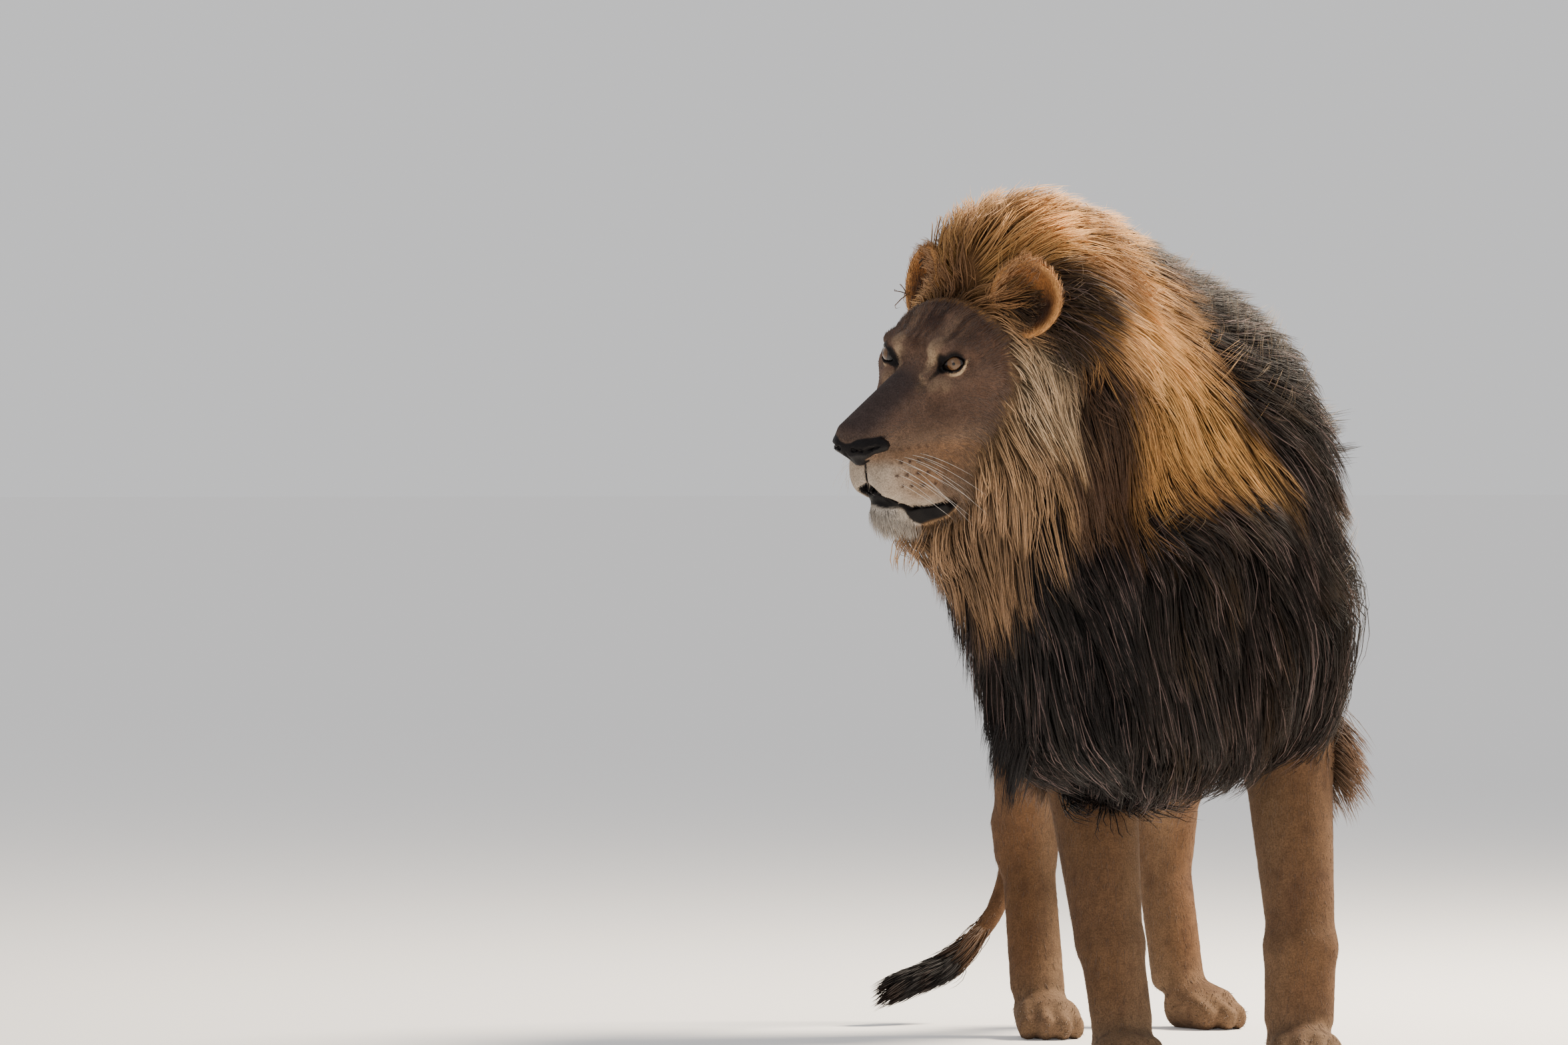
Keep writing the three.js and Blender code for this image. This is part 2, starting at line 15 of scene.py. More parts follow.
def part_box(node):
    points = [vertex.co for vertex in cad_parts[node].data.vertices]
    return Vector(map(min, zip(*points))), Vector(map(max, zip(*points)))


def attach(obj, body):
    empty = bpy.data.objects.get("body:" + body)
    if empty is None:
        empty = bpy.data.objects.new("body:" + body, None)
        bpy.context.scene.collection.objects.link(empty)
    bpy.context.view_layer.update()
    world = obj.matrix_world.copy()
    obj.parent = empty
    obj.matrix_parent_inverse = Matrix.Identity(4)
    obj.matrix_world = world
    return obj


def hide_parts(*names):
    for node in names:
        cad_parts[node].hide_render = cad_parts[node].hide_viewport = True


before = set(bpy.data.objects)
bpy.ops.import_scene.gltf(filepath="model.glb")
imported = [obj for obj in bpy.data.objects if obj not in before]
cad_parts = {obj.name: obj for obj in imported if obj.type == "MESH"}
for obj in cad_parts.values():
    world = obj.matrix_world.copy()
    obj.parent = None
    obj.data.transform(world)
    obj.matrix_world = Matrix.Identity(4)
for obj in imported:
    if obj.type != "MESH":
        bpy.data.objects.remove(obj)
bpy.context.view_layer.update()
random = np.random.default_rng(20)

# ---- the drawing: tapered limbs as (from, to, half widths, half depths, cap length) ----

HEAD_AT = np.array([-490, -352, 1125])  # midway between the eyes
EYE_RADIUS = 19
EYE_AT = np.array([58, 7, 0])  # of the left eye, in the head's frame
EAR_AT = np.array([102, 127, 84])

TRUNK = [
    ((-17, 60, 820), (-17, 420, 815), (165, 190), (235, 240), 130),
    ((-20, -60, 740), (-18, 150, 660), (115, 135), (120, 110), 80),
    ((-17, 420, 815), (-20, 800, 835), (190, 160), (238, 190), 120),
    ((-20, 640, 765), (-20, 960, 810), (145, 110), (175, 110), 90),
    ((-20, 780, 900), (-20, 1110, 925), (130, 122), (140, 122), 90),
    ((-17, 60, 1005), (-17, 280, 995), (95, 85), (100, 75), 80),
    ((-20, 1080, 905), (-20, 1225, 850), (132, 122), (136, 140), 76),
]
NECK_MANE = [
    ((-255, -146, 1125), (-40, 60, 990), (205, 235), (250, 262), 150),
    ((-8, -20, 842), (-5, 240, 850), (236, 222), (345, 305), 170),
    ((-360, -275, 950), (-268, -165, 570), (150, 112), (140, 120), 90),
    ((-135, -130, 820), (-82, -55, 545), (235, 190), (180, 165), 130),
]
NECK = [  # the flesh deep under the mane
    ((-330, -230, 1030), (-40, 40, 900), (115, 150), (150, 220), 110),
    ((-90, -60, 840), (-30, 60, 700), (170, 170), (150, 150), 110),
]
SHOULDER_MANE = [  # where the mane hangs over the upper arms
    ((128, -20, 770), (136, 50, 650), (104, 98), (125, 116), 62),
    ((-170, -45, 770), (-176, 30, 650), (104, 100), (125, 116), 62),
]
HEAD_MANE = [  # in the head's frame
    ((0, 118, 108), (0, 285, 110), (80, 150), (100, 108), 62),
    ((0, 122, -70), (0, 260, -30), (158, 205), (122, 215), 84),
    ((0, -40, -268), (0, 120, -220), (52, 140), (40, 120), 60),
]
FORELEGS = {
    "left": [
        ((128, -20, 750), (139, 100, 520), (92, 78), (115, 92), 80),
        ((142, 92, 500), (153, 20, 215), (76, 59), (84, 50), 50),
        ((151, 14, 195), (147, 2, 90), (62, 61), (54, 46), 40),
    ],
    "right": [
        ((-170, -45, 750), (-177, 80, 520), (92, 84), (115, 92), 80),
        ((-176, 72, 500), (-156, -5, 225), (80, 60), (84, 48), 50),
        ((-150, -10, 195), (-137, -22, 90), (55, 54), (52, 44), 40),
    ],
}
HINDLEGS = {
    "left": [
        ((72, 1110, 870), (124, 1010, 650), (88, 80), (165, 118), 90),
        ((62, 1200, 830), (90, 1185, 640), (74, 62), (78, 66), 60),
        ((86, 1168, 690), (114, 1168, 500), (60, 44), (76, 40), 50),
        ((132, 1015, 610), (112, 1285, 355), (76, 56), (92, 52), 50),
        ((110, 1302, 350), (108, 1308, 300), (54, 53), (50, 48), 36),
        ((108, 1298, 300), (130, 1258, 85), (51, 50), (46, 44), 36),
    ],
    "right": [
        ((-112, 1095, 870), (-155, 935, 650), (88, 80), (165, 118), 90),
        ((-98, 1195, 830), (-130, 1125, 640), (74, 62), (78, 66), 60),
        ((-122, 1110, 700), (-148, 1040, 490), (60, 44), (76, 40), 50),
        ((-160, 925, 610), (-150, 1095, 355), (72, 54), (92, 52), 50),
        ((-149, 1110, 350), (-146, 1115, 300), (52, 50), (50, 48), 36),
        ((-143, 1105, 300), (-136, 1030, 85), (49, 51), (46, 44), 36),
    ],
}
# Heel, the way the toes point (degrees from -Y, to the lion's left), size.
PAWS = {
    "forepaw_left": ((147, -12), 5, 1.06),
    "forepaw_right": ((-134, -34), 2, 1.04),
    "hindpaw_left": ((154, 1236), 44, 0.96),
    "hindpaw_right": ((-129, 1010), 6, 0.96),
}
TAIL_LINE = [
    (-20, 1230, 925), (-20, 1325, 885), (-32, 1400, 770), (-78, 1436, 600), (-112, 1442, 440),
    (-126, 1436, 310), (-146, 1426, 215), (-190, 1410, 145), (-245, 1390, 98), (-316, 1360, 72),
]
TAIL_RADIUS = (42, 36, 30, 27, 24, 22, 21, 20, 20, 20)

# The head, in its own frame: x to its left, y back, z up, from the point midway between the eyes.
HEAD_MIDDLE = [
    ((0, 62, 2), (0, 150, 0), (104, 100), (76, 80), 56),
    ((0, 14, 4), (0, 90, 34), (60, 72), (38, 46), 26),
    ((0, 8, -24), (0, -166, -98), (40, 36), (36, 38), 20),
    ((0, 20, -104), (0, -106, -146), (86, 47), (86, 50), 30),
    ((0, -92, -222), (0, 10, -230), (31, 60), (34, 40), 23),
    ((0, 40, -170), (0, 130, -110), (70, 84), (70, 84), 50),
]
HEAD_SIDE = [  # brow, cheekbone, whisker pad, cheek, jowl
    ((36, -4, 20), (76, 24, 18), (17, 18), (15, 15), 16),
    ((50, -8, -38), (98, 48, -28), (22, 24), (22, 30), 22),
    ((20, -118, -156), (46, -56, -166), (26, 40), (38, 48), 26),
    ((64, 8, -92), (91, 92, -85), (34, 34), (54, 84), 36),
    ((46, -24, -208), (70, 90, -165), (32, 40), (38, 66), 30),
]
NOSE = [
    ((-15, -176, -101), (15, -176, -101), (14, 14), (14, 14), 14),
    ((0, -172, -106), (0, -154, -130), (18, 11), (18, 11), 8),
    ((26, -170, -104), (44, -136, -102), (12, 9), (13, 10), 8),
    ((-26, -170, -104), (-44, -136, -102), (12, 9), (13, 10), 8),
]

# ---- frames ----


def turned(axis, degrees):
    """The 3 by 3 matrix of a turn about one axis."""
    return np.array(Matrix.Rotation(math.radians(degrees), 3, axis))


HEAD_AXES = turned("Z", -46) @ turned("X", 10) @ turned("Y", 7)


def to_head(points):
    """The head's frame for places in the drawing."""
    return (points - HEAD_AT) @ HEAD_AXES


def from_head(points):
    """The drawing's places for points in the head's frame."""
    return points @ HEAD_AXES.T + HEAD_AT


def left_half(q):
    """Points of the head's right half, mirrored onto its left."""
    return q * np.where(q[:, :1] < 0, (-1, 1, 1), 1)


def near_head(q, wide=190, deep=240, tall=300):
    """Which points lie in a box round the head."""
    return np.all(np.abs(q) < (wide, deep, tall), axis=1)


def middle_of(*nodes):
    """The mean of the nodes' box centres, in metres."""
    return np.mean([np.mean([tuple(corner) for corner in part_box(node)], axis=0) for node in nodes], axis=0)


# The drawing's place in the frame comes from the eyes, which are balls in both.
DRAWING_EYES = from_head(np.array([0, EYE_AT[1], EYE_AT[2]]))
SHIFT = middle_of("eye_left", "eye_right") * 1000 - DRAWING_EYES


def to_frame(points):
    """Metres in the part's frame, for places in the drawing."""
    return (points + SHIFT) / 1000


# ---- fields: about how far a point is from a skin, in millimetres, negative inside ----

FAR = 400.0


def smooth_min(a, b, width):
    """The lesser of two fields, rounded where they are less than the width apart."""
    near = np.maximum(width - np.abs(a - b), 0) / width
    return np.minimum(a, b) - near * near * width / 4


def smooth_max(a, b, width):
    """The greater of two fields, rounded in the same way."""
    return -smooth_min(-a, -b, width)


def ramp(value, low, high):
    """0 below low, 1 above high, and a smooth step between (high may be under low)."""
    t = np.clip((value - low) / (high - low), 0, 1)
    return t * t * (3 - 2 * t)


def limb_distance(points, limb, across=(1, 0, 0)):
    """Distance to a tapered limb with elliptical sections: the offset from its axis over the half widths."""
    start, end, wide, deep, cap = limb
    start, run = np.array(start, float), np.subtract(end, start).astype(float)
    length2 = run @ run
    along = run / math.sqrt(length2)
    side = np.array(across, float) - along * (along @ np.array(across, float))
    side /= np.linalg.norm(side)
    axes = np.stack([side, np.cross(along, side), along], axis=1)
    offset = points - start
    share = np.clip(offset @ run / length2, 0, 1)
    offset = (offset - share[:, None] * run) @ axes
    widths = [ends[0] + (ends[1] - ends[0]) * share for ends in (wide, deep, (cap, cap))]
    radius = np.stack(widths, axis=1)
    scaled = offset / radius
    k0 = np.linalg.norm(scaled, axis=1)
    k1 = np.linalg.norm(scaled / radius, axis=1)
    return np.where(k1 < 1e-6, -radius.min(axis=1), k0 * (k0 - 1) / np.maximum(k1, 1e-6))


MARGIN = 70  # how far outside its own box a limb is still measured


def box_of(limbs, margin):
    """The box round the limbs, with their widths and a margin."""
    ends = np.array([end for limb in limbs for end in limb[:2]])
    size = max(max(*limb[2], *limb[3], limb[4]) for limb in limbs) + margin
    return ends.min(axis=0) - size, ends.max(axis=0) + size


def within(points, low, high):
    """Which points lie in a box."""
    return np.all((points > low) & (points < high), axis=1)


def limbs_field(points, limbs, blend, across=(1, 0, 0), margin=MARGIN):
    """The limbs joined, each meeting rounded over the blend width. A limb is only measured near its box."""
    total = np.full(len(points), FAR)
    for limb in limbs:
        near = within(points, *box_of([limb], margin))
        if near.any():
            total[near] = smooth_min(total[near], limb_distance(points[near], limb, across), blend)
    return total


def near_field(points, limbs, blend):
    """limbs_field for the points within the limbs' joint box."""
    near = within(points, *box_of(limbs, MARGIN))
    total = np.full(len(points), FAR)
    total[near] = limbs_field(points[near], limbs, blend)
    return total


def mirrored(limb):
    """The same limb on the head's right side."""
    return ((-limb[0][0], *limb[0][1:]), (-limb[1][0], *limb[1][1:]), *limb[2:])


HEAD = HEAD_MIDDLE + HEAD_SIDE + [mirrored(limb) for limb in HEAD_SIDE]
MANE = NECK_MANE + SHOULDER_MANE + [
    (*(tuple(from_head(np.array(end))) for end in limb[:2]), *limb[2:]) for limb in HEAD_MANE
]


def paw_limbs(at, turn, size):
    """A paw's pad and its four toes, in an arc in front of it."""
    c, s = math.cos(math.radians(turn)), math.sin(math.radians(turn))

    def place(x, y, z):
        return (at[0] + size * (x * c - y * s), at[1] + size * (x * s + y * c), size * z)

    def sized(*values):
        return tuple(value * size for value in values)

    pad = (place(0, 18, 46), place(0, -40, 34), sized(50, 55), sized(52, 40), 30)
    return [pad] + [
        (place(x * 0.9, back - 52, 34), place(x, back - 86, 20), sized(17, 18), sized(30, 26), 18 * size)
        for x, back in ((-42, 22), (-15, 0), (15, 0), (42, 22))
    ]


def smooth_line(points, steps):
    """A smooth line through the points: cubic pieces whose tangents are half the span of the neighbours."""
    p = np.array(points, float)
    tangent = np.gradient(p, axis=0)
    where = np.linspace(0, len(p) - 1, steps)
    i = np.minimum(where.astype(int), len(p) - 2)
    t = (where - i)[:, None]
    return (
        (2 * t**3 - 3 * t**2 + 1) * p[i] + (t**3 - 2 * t**2 + t) * tangent[i]
        + (3 * t**2 - 2 * t**3) * p[i + 1] + (t**3 - t**2) * tangent[i + 1]
    )


TAIL_STEPS = 46
TAIL_PATH = smooth_line(TAIL_LINE, TAIL_STEPS)
TAIL_SIZE = np.interp(np.linspace(0, 1, TAIL_STEPS), np.linspace(0, 1, len(TAIL_RADIUS)), TAIL_RADIUS)


def tail_field(points):
    """Distance to the tail: the nearest of its short straight lengths, less the radius there."""
    total = np.full(len(points), FAR)
    near = within(points, TAIL_PATH.min(axis=0) - 100, TAIL_PATH.max(axis=0) + 100)
    inside = points[near]
    best = np.full(len(inside), FAR)
    for a, b, ra, rb in zip(TAIL_PATH[:-1], TAIL_PATH[1:], TAIL_SIZE[:-1], TAIL_SIZE[1:]):
        share = np.clip((inside - a) @ (b - a) / ((b - a) @ (b - a)), 0, 1)
        away = np.linalg.norm(inside - a - share[:, None] * (b - a), axis=1)
        best = np.minimum(best, away - (ra + (rb - ra) * share))
    total[near] = best
    return total


# ---- the head in fine detail, in its own frame ----

FACE_FUR = 3.0  # depth of the coat on the face
GAZE_OUT, GAZE_UP, LID_SLANT = 34, 8, 19  # degrees
LID_OUTER, LID_INNER, LID_UPPER, LID_LOWER = 17.0, 22.0, 10.5, 10.5


def eye_axes(side):
    """Columns: along the lids outwards, up across them, and out along the gaze."""
    out, up = math.radians(GAZE_OUT), math.radians(GAZE_UP)
    gaze = np.array([side * math.sin(out) * math.cos(up), -math.cos(out) * math.cos(up), math.sin(up)])
    level = np.array([side * math.cos(out), math.sin(out), 0])
    rise = np.cross(gaze, level) * side
    rise *= np.sign(rise[2])
    c, s = math.cos(math.radians(LID_SLANT)), math.sin(math.radians(LID_SLANT))
    return np.stack([level * c + rise * s, rise * c - level * s, gaze], axis=1)


def lid_opening(points, side):
    """About how far a point lies outside the almond between the lids, and its place in the eye's axes."""
    local = (points - EYE_AT * (side, 1, 1)) @ eye_axes(side)
    u, v = local[:, 0], local[:, 1]
    reach = np.where(u > 0, LID_OUTER, LID_INNER)
    arch = 1 - np.clip(np.abs(u) / reach, 0, 1.6) ** 2.2
    tilt = 1 + 0.012 * u  # the upper lid is highest a little outwards
    return np.maximum(v - LID_UPPER * arch * tilt, -v - LID_LOWER * arch), local


# The upper lip's edge: (x, z) across the front, and (y, z) along the side.
MOUTH_FRONT = np.array([(0, -166), (4, -170), (18, -178), (23, -188), (29, -197), (36, -207)])
MOUTH_SIDE = np.array([(-119, -198), (-96, -211), (-76, -213), (-57, -211), (-33, -206), (-11, -207)])
# The bare black skin below that edge: how far below the eyes it ends in front, and (y, depth) at the side.
LIP_FRONT_FOOT = 212
LIP_DEPTH = np.array([
    (-119, 21), (-106, 18), (-97, 15), (-83, 22), (-65, 34), (-44, 44), (-26, 40), (-11, 6),
])
# The bare nose's upper and lower edges, (x, z).
NOSE_TOP = np.array([(0, -97), (10, -95), (20, -89), (31, -87), (40, -92), (48, -92), (60, -93)])
NOSE_FOOT = np.array([(0, -137), (8, -137), (20, -129), (32, -120), (42, -114), (58, -106)])
# What is cut into the head: (limb, how soft the cut's edge is). All are drawn on its left half.
EYE_HOLLOW = [(((50, -34, -6), (34, -40, -26), (12, 8), (12, 8), 6), 12)]
NOSE_CUTS = [  # a nostril's round hole, the slit that curls out of it, and the groove below in two parts
    (((12, -198, -107), (15, -172, -105), (3.8, 3.4), (3.2, 3.0), 3), 2),
    (((23, -184, -107), (38, -160, -103), (2.2, 1.4), (3.0, 1.8), 3), 2),
    (((0, -190, -116), (0, -172, -136), (1.8, 1.8), (5, 5), 3), 2.5),
    (((0, -154, -134), (0, -142, -168), (1.6, 1.6), (6.5, 6), 3), 4),
]
FURROWS = [  # round the whisker pad, and behind the corner of the mouth
    (((50, -132, -98), (74, -62, -128), (5, 6), (7, 9), 9), 16),
    (((74, -36, -150), (74, -22, -206), (4, 5), (6, 6), 9), 14),
]
LID_THICK = 3.6  # of the lid over the ball of the eye
MOUTH_DEEP, MOUTH_BACK = 15, -12  # how deep the mouth's slit goes, and the y where it ends


def in_front(q):
    """1 where the mouth's line runs across the muzzle's front, 0 where it runs back along the side."""
    return np.maximum(ramp(q[:, 1], -106, -126), ramp(np.abs(q[:, 0]), 34, 26))


def mouth_height(q):
    """The height of the upper lip's edge: by the distance from the middle in front, and by y at the side."""
    front = np.interp(np.abs(q[:, 0]), *MOUTH_FRONT.T)
    back = np.interp(q[:, 1], *MOUTH_SIDE.T)
    return back + in_front(q) * (front - back)


def nose_field(q):
    """The distance to the nose."""
    return limbs_field(q, NOSE, 14, (0, 1, 0))


def carve(flesh, half, cuts):
    """Cuts limbs out of the flesh, each with its own softness at the edge."""
    for limb, soft in cuts:
        flesh = smooth_max(flesh, -limbs_field(half, [limb], 1, margin=16), soft)
    return flesh


def head_field(q):
    """The head's flesh: limbs, then lids over the eyeballs, with eye, nostril and mouth openings cut in."""
    half = left_half(q)
    flesh = smooth_min(limbs_field(q, HEAD, 22) + FACE_FUR, nose_field(q) + 0.6, 7)
    flesh = carve(flesh, half, EYE_HOLLOW)
    ball = np.linalg.norm(half - EYE_AT, axis=1) - (EYE_RADIUS + LID_THICK)
    flesh = smooth_min(flesh, ball, 9)
    opening, local = lid_opening(half, 1)
    hole = np.maximum(np.maximum(opening, 5 - local[:, 2]), local[:, 2] - 40)
    flesh = carve(smooth_max(flesh, -hole, 2.2), half, NOSE_CUTS)
    # the mouth: a slit that follows the lips' line, deeper and wider in front
    y, z = q[:, 1], q[:, 2]
    gape = np.interp(y, [-122, -98, -30], [5.0, 3.0, 2.0]) * (1 + 0.5 * in_front(q))
    slit = np.abs(z - mouth_height(q) + gape) - gape
    slit = np.maximum(np.maximum(slit, y - MOUTH_BACK), -(flesh + MOUTH_DEEP))
    return carve(smooth_max(flesh, -slit, 4), half, FURROWS)


EAR_WIDE, EAR_TALL, EAR_DEEP, EAR_WALL = 51, 55, 32, 8


def ear_axes(side):
    """The axes of an ear's cup: across it, out of its back, and up."""
    return turned("Z", side * 28) @ turned("X", -12)


def ear_surface(side):
    """A round cup with a thick rim: a paraboloid's two faces, half a wall to each side of it, and a half
    circle that joins them round the edge. Returns points in the head's frame and faces."""
    around, faces, bends = 56, 12, 6
    share = np.concatenate([np.linspace(0.04, 1, faces), np.ones(bends), np.linspace(1, 0.04, faces)])
    bend = np.concatenate([np.zeros(faces), np.linspace(0, 180, bends + 2)[1:-1], np.full(faces, 180)])
    turn = np.arange(around) / around * 2 * math.pi
    wall = EAR_WALL / 2 * (1 + 0.35 * ramp(share, 0.6, 0.95))
    off, out = wall * np.cos(np.radians(bend)), wall * np.sin(np.radians(bend))
    slope = 2 * EAR_DEEP * share / EAR_WIDE
    run = np.sqrt(1 + slope**2)
    radial = off * slope / run + out / run
    depth = EAR_DEEP * (1 - share**2) + EAR_WALL / 2 + off / run - out * slope / run
    ripple = 1 + 0.02 * np.sin(3 * turn + side)
    points = np.stack([
        (EAR_WIDE * share + radial)[:, None] * np.cos(turn) * ripple,
        np.repeat(depth[:, None], around, axis=1),
        (EAR_TALL * share + radial)[:, None] * np.sin(turn) * ripple,
    ], axis=-1).reshape(-1, 3)
    rings = len(share)
    ends = [list(range(around))[::-1], list(range((rings - 1) * around, rings * around))]
    return points @ ear_axes(side).T + EAR_AT * (side, 1, 1), ring_quads(rings, around).tolist() + ends


def ear_place(q, side):
    """Places in one ear's own axes, and how far out in its cup they are: 0 in the middle and 1 at the rim."""
    local = (q - EAR_AT * (side, 1, 1)) @ ear_axes(side)
    return local, np.hypot(local[:, 0] / EAR_WIDE, local[:, 2] / EAR_TALL)


def ear_distance(q):
    """About how far points are from the nearer ear's cup."""
    best = np.full(len(q), FAR)
    for side in (1, -1):
        local, share = ear_place(q, side)
        off = np.abs(local[:, 1] - EAR_DEEP * (1 - share**2) - EAR_WALL / 2)
        shell = off / np.sqrt(1 + (2 * EAR_DEEP * share / EAR_WIDE) ** 2) - EAR_WALL / 2
        best = np.minimum(best, np.maximum(shell, (share - 1.06) * EAR_WIDE))
    return best


# ---- the whole lion ----

COAT_DEPTH = {"trunk": 10, "mane": 52, "leg": 6, "paw": 2.5, "tail": 5}
MANE_BLEND, TRUNK_BLEND, NECK_BLEND, BODY_BLEND = 105, 70, 60, 50  # widths over which forms meet
LEG_BLEND, TAIL_BLEND, PAW_BLEND, ANKLE_BLEND, FACE_BLEND = 40, 36, 14, 16, 12
LEGS = ((FORELEGS, "forepaw_", 30), (HINDLEGS, "hindpaw_", 36))  # with the blend between a leg's limbs


def mane_field(points):
    """The distance to the mane's outer form."""
    return near_field(points, MANE, MANE_BLEND)


def skin_field(points):
    """All the flesh as one body, lying under the solids' faces by the depth of the coat."""
    flesh = near_field(points, TRUNK, TRUNK_BLEND) + COAT_DEPTH["trunk"]
    flesh = smooth_min(flesh, mane_field(points) + COAT_DEPTH["mane"], BODY_BLEND)
    flesh = smooth_min(flesh, near_field(points, NECK, NECK_BLEND), BODY_BLEND)
    for legs, paw, blend in LEGS:
        for side, limbs in legs.items():
            leg = near_field(points, limbs, blend) + COAT_DEPTH["leg"]
            foot = near_field(points, paw_limbs(*PAWS[paw + side]), PAW_BLEND) + COAT_DEPTH["paw"]
            flesh = smooth_min(flesh, smooth_min(leg, foot, ANKLE_BLEND), LEG_BLEND)
    flesh = smooth_min(flesh, tail_field(points) + COAT_DEPTH["tail"], TAIL_BLEND)
    flesh = np.maximum(flesh, -points[:, 2])
    q = to_head(points)
    near = near_head(q, 190, 260, 320)
    if near.any():
        flesh[near] = smooth_min(flesh[near], head_field(q[near]), FACE_BLEND)
    return flesh


# ---- turning a field into a mesh ----

GRID = 12.5  # millimetres between the grid's points
COARSE = 4  # fine steps in a coarse one
BAND = 2.1  # coarse steps from the surface within which the fine grid is measured
FLATTEST = 0.15  # the least squared slope that a step is divided by, so that none is thrown far out


def band_values(measure, low, steps):
    """A field on a grid, measured only near its surface: a coarse grid first tells where that is."""
    coarse_axes = [low[i] + np.arange(steps[i] + 1) * GRID * COARSE for i in range(3)]
    coarse = measure(np.stack(np.meshgrid(*coarse_axes, indexing="ij"), axis=-1).reshape(-1, 3))
    coarse = coarse.reshape([n + 1 for n in steps])
    values = coarse
    for axis in range(3):
        values = np.repeat(values, COARSE, axis=axis)
    values = values[tuple(slice(0, n * COARSE + 1) for n in steps)].copy()
    near = np.argwhere(np.abs(values) < BAND * GRID * COARSE)
    values[tuple(near.T)] = measure(low + near * GRID)
    return values


def surface_net(values, low):
    """Quads round a grid's sign changes: each crossed cell has a point, at its edges' mean crossing."""
    shape = np.array(values.shape)
    cells, places, quads = [], [], []
    for axis in range(3):
        a = np.take(values, np.arange(shape[axis] - 1), axis=axis)
        b = np.take(values, np.arange(1, shape[axis]), axis=axis)
        at = np.argwhere((a < 0) != (b < 0))
        va, vb = a[tuple(at.T)], b[tuple(at.T)]
        place = at.astype(float)
        place[:, axis] += va / (va - vb)
        u, v = [i for i in range(3) if i != axis]
        ring = []
        for du, dv in ((0, 0), (1, 0), (1, 1), (0, 1)):
            cell = at.copy()
            cell[:, u] -= du
            cell[:, v] -= dv
            ring.append(np.ravel_multi_index(cell.T, shape))
        ring = np.stack(ring, axis=1)
        flip = (va < 0) == (axis == 1)
        ring[flip] = ring[flip, ::-1]
        quads.append(ring)
        cells.append(ring.ravel())
        places.append(np.repeat(place, 4, axis=0))
    ids, where = np.unique(np.concatenate(cells), return_inverse=True)
    places = np.concatenate(places)
    count = np.bincount(where)
    points = np.stack([np.bincount(where, weights=places[:, i]) / count for i in range(3)], axis=1)
    return low + points * GRID, np.searchsorted(ids, np.concatenate(quads))


def slope_of(measure, points, value, step=0.8):
    """The field's gradient, from one more measure along each axis."""
    return np.stack([(measure(points + step * np.eye(3)[i]) - value) / step for i in range(3)], axis=1)


def settle(measure, points, rounds, most=7.0):
    """Moves points onto a field's surface, along its gradient."""
    for _ in range(rounds):
        value = measure(points)
        slope = slope_of(measure, points, value)
        step = slope * (value / np.maximum((slope * slope).sum(axis=1), FLATTEST))[:, None]
        length = np.linalg.norm(step, axis=1)
        points = points - step * np.minimum(1, most / np.maximum(length, 1e-6))[:, None]
    return points


def mesh_of(name, points, faces):
    """A mesh of the points and faces given."""
    mesh = bpy.data.meshes.new(name)
    mesh.from_pydata(points.tolist(), [], faces)
    mesh.update()
    return mesh


def read(items, field, width=1, kind=float):
    """One field of a mesh's vertices, edges, loops or faces, as an array."""
    values = np.empty(len(items) * width, kind)
    items.foreach_get(field, values)
    return values.reshape(-1, width) if width > 1 else values


def give(mesh, name, kind, field, values):
    """Stores a value for each point of a mesh, for its material."""
    mesh.attributes.new(name, kind, "POINT").data.foreach_set(field, np.asarray(values, "f4").ravel())


def give_pelt(mesh, colour):
    """Stores the coat's colour, with full alpha."""
    give(mesh, "pelt", "FLOAT_COLOR", "color", np.concatenate([colour, np.ones((len(colour), 1))], axis=1))


def ring_quads(rings, around, first=0):
    """Quads between closed rings of points that follow one another."""
    i, k = np.meshgrid(np.arange(rings - 1), np.arange(around), indexing="ij")
    a, b = first + i * around + k, first + i * around + (k + 1) % around
    return np.stack([a, b, b + around, a + around], axis=-1).reshape(-1, 4)


def make_object(name, mesh, material, slot, *nodes):
    """Puts a mesh in the scene as a piece of the lion's one body."""
    made = bpy.data.objects.new(name, mesh)
    bpy.context.scene.collection.objects.link(made)
    mesh.materials.append(material)
    mesh.shade_smooth()
    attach(made, "root")
    if nodes:
        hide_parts(*nodes)
    return made


def relax(points, edges, share):
    """Each point moved a share of the way to the mean of its neighbours."""
    count = np.bincount(edges.ravel(), minlength=len(points))[:, None]
    total = np.stack([
        np.bincount(edges[:, 0], points[edges[:, 1], i], len(points))
        + np.bincount(edges[:, 1], points[edges[:, 0], i], len(points)) for i in range(3)
    ], axis=1)
    return points + share * (total / np.maximum(count, 1) - points)


def face_zone(points, level):
    """Where the skin's mesh is made finer: paws and head, the face again, then eyes, nose and mouth."""
    q = left_half(to_head(points))
    x, y, z = q.T
    if level == 0:
        return (points[:, 2] < 105) | within(q, (-1, -230, -285), (160, 110, 150))
    if level == 1:
        front = np.interp(z, [-255, -215, -120, 0, 78], [-30, 10, 30, 84, 84])
        return (y < front) & (z > -270) & (x < 150) & (y > -230)
    eye = np.linalg.norm(q - (56, -12, -2), axis=1) < 38
    nose = (y < -142) & (z > -172) & (z < -86)
    mouth = (np.abs(z - mouth_height(q)) < 14) & (y < -20) & (y > -230)
    return (eye | nose | mouth) & (y < 40) & (z > -290) & (x < 150)


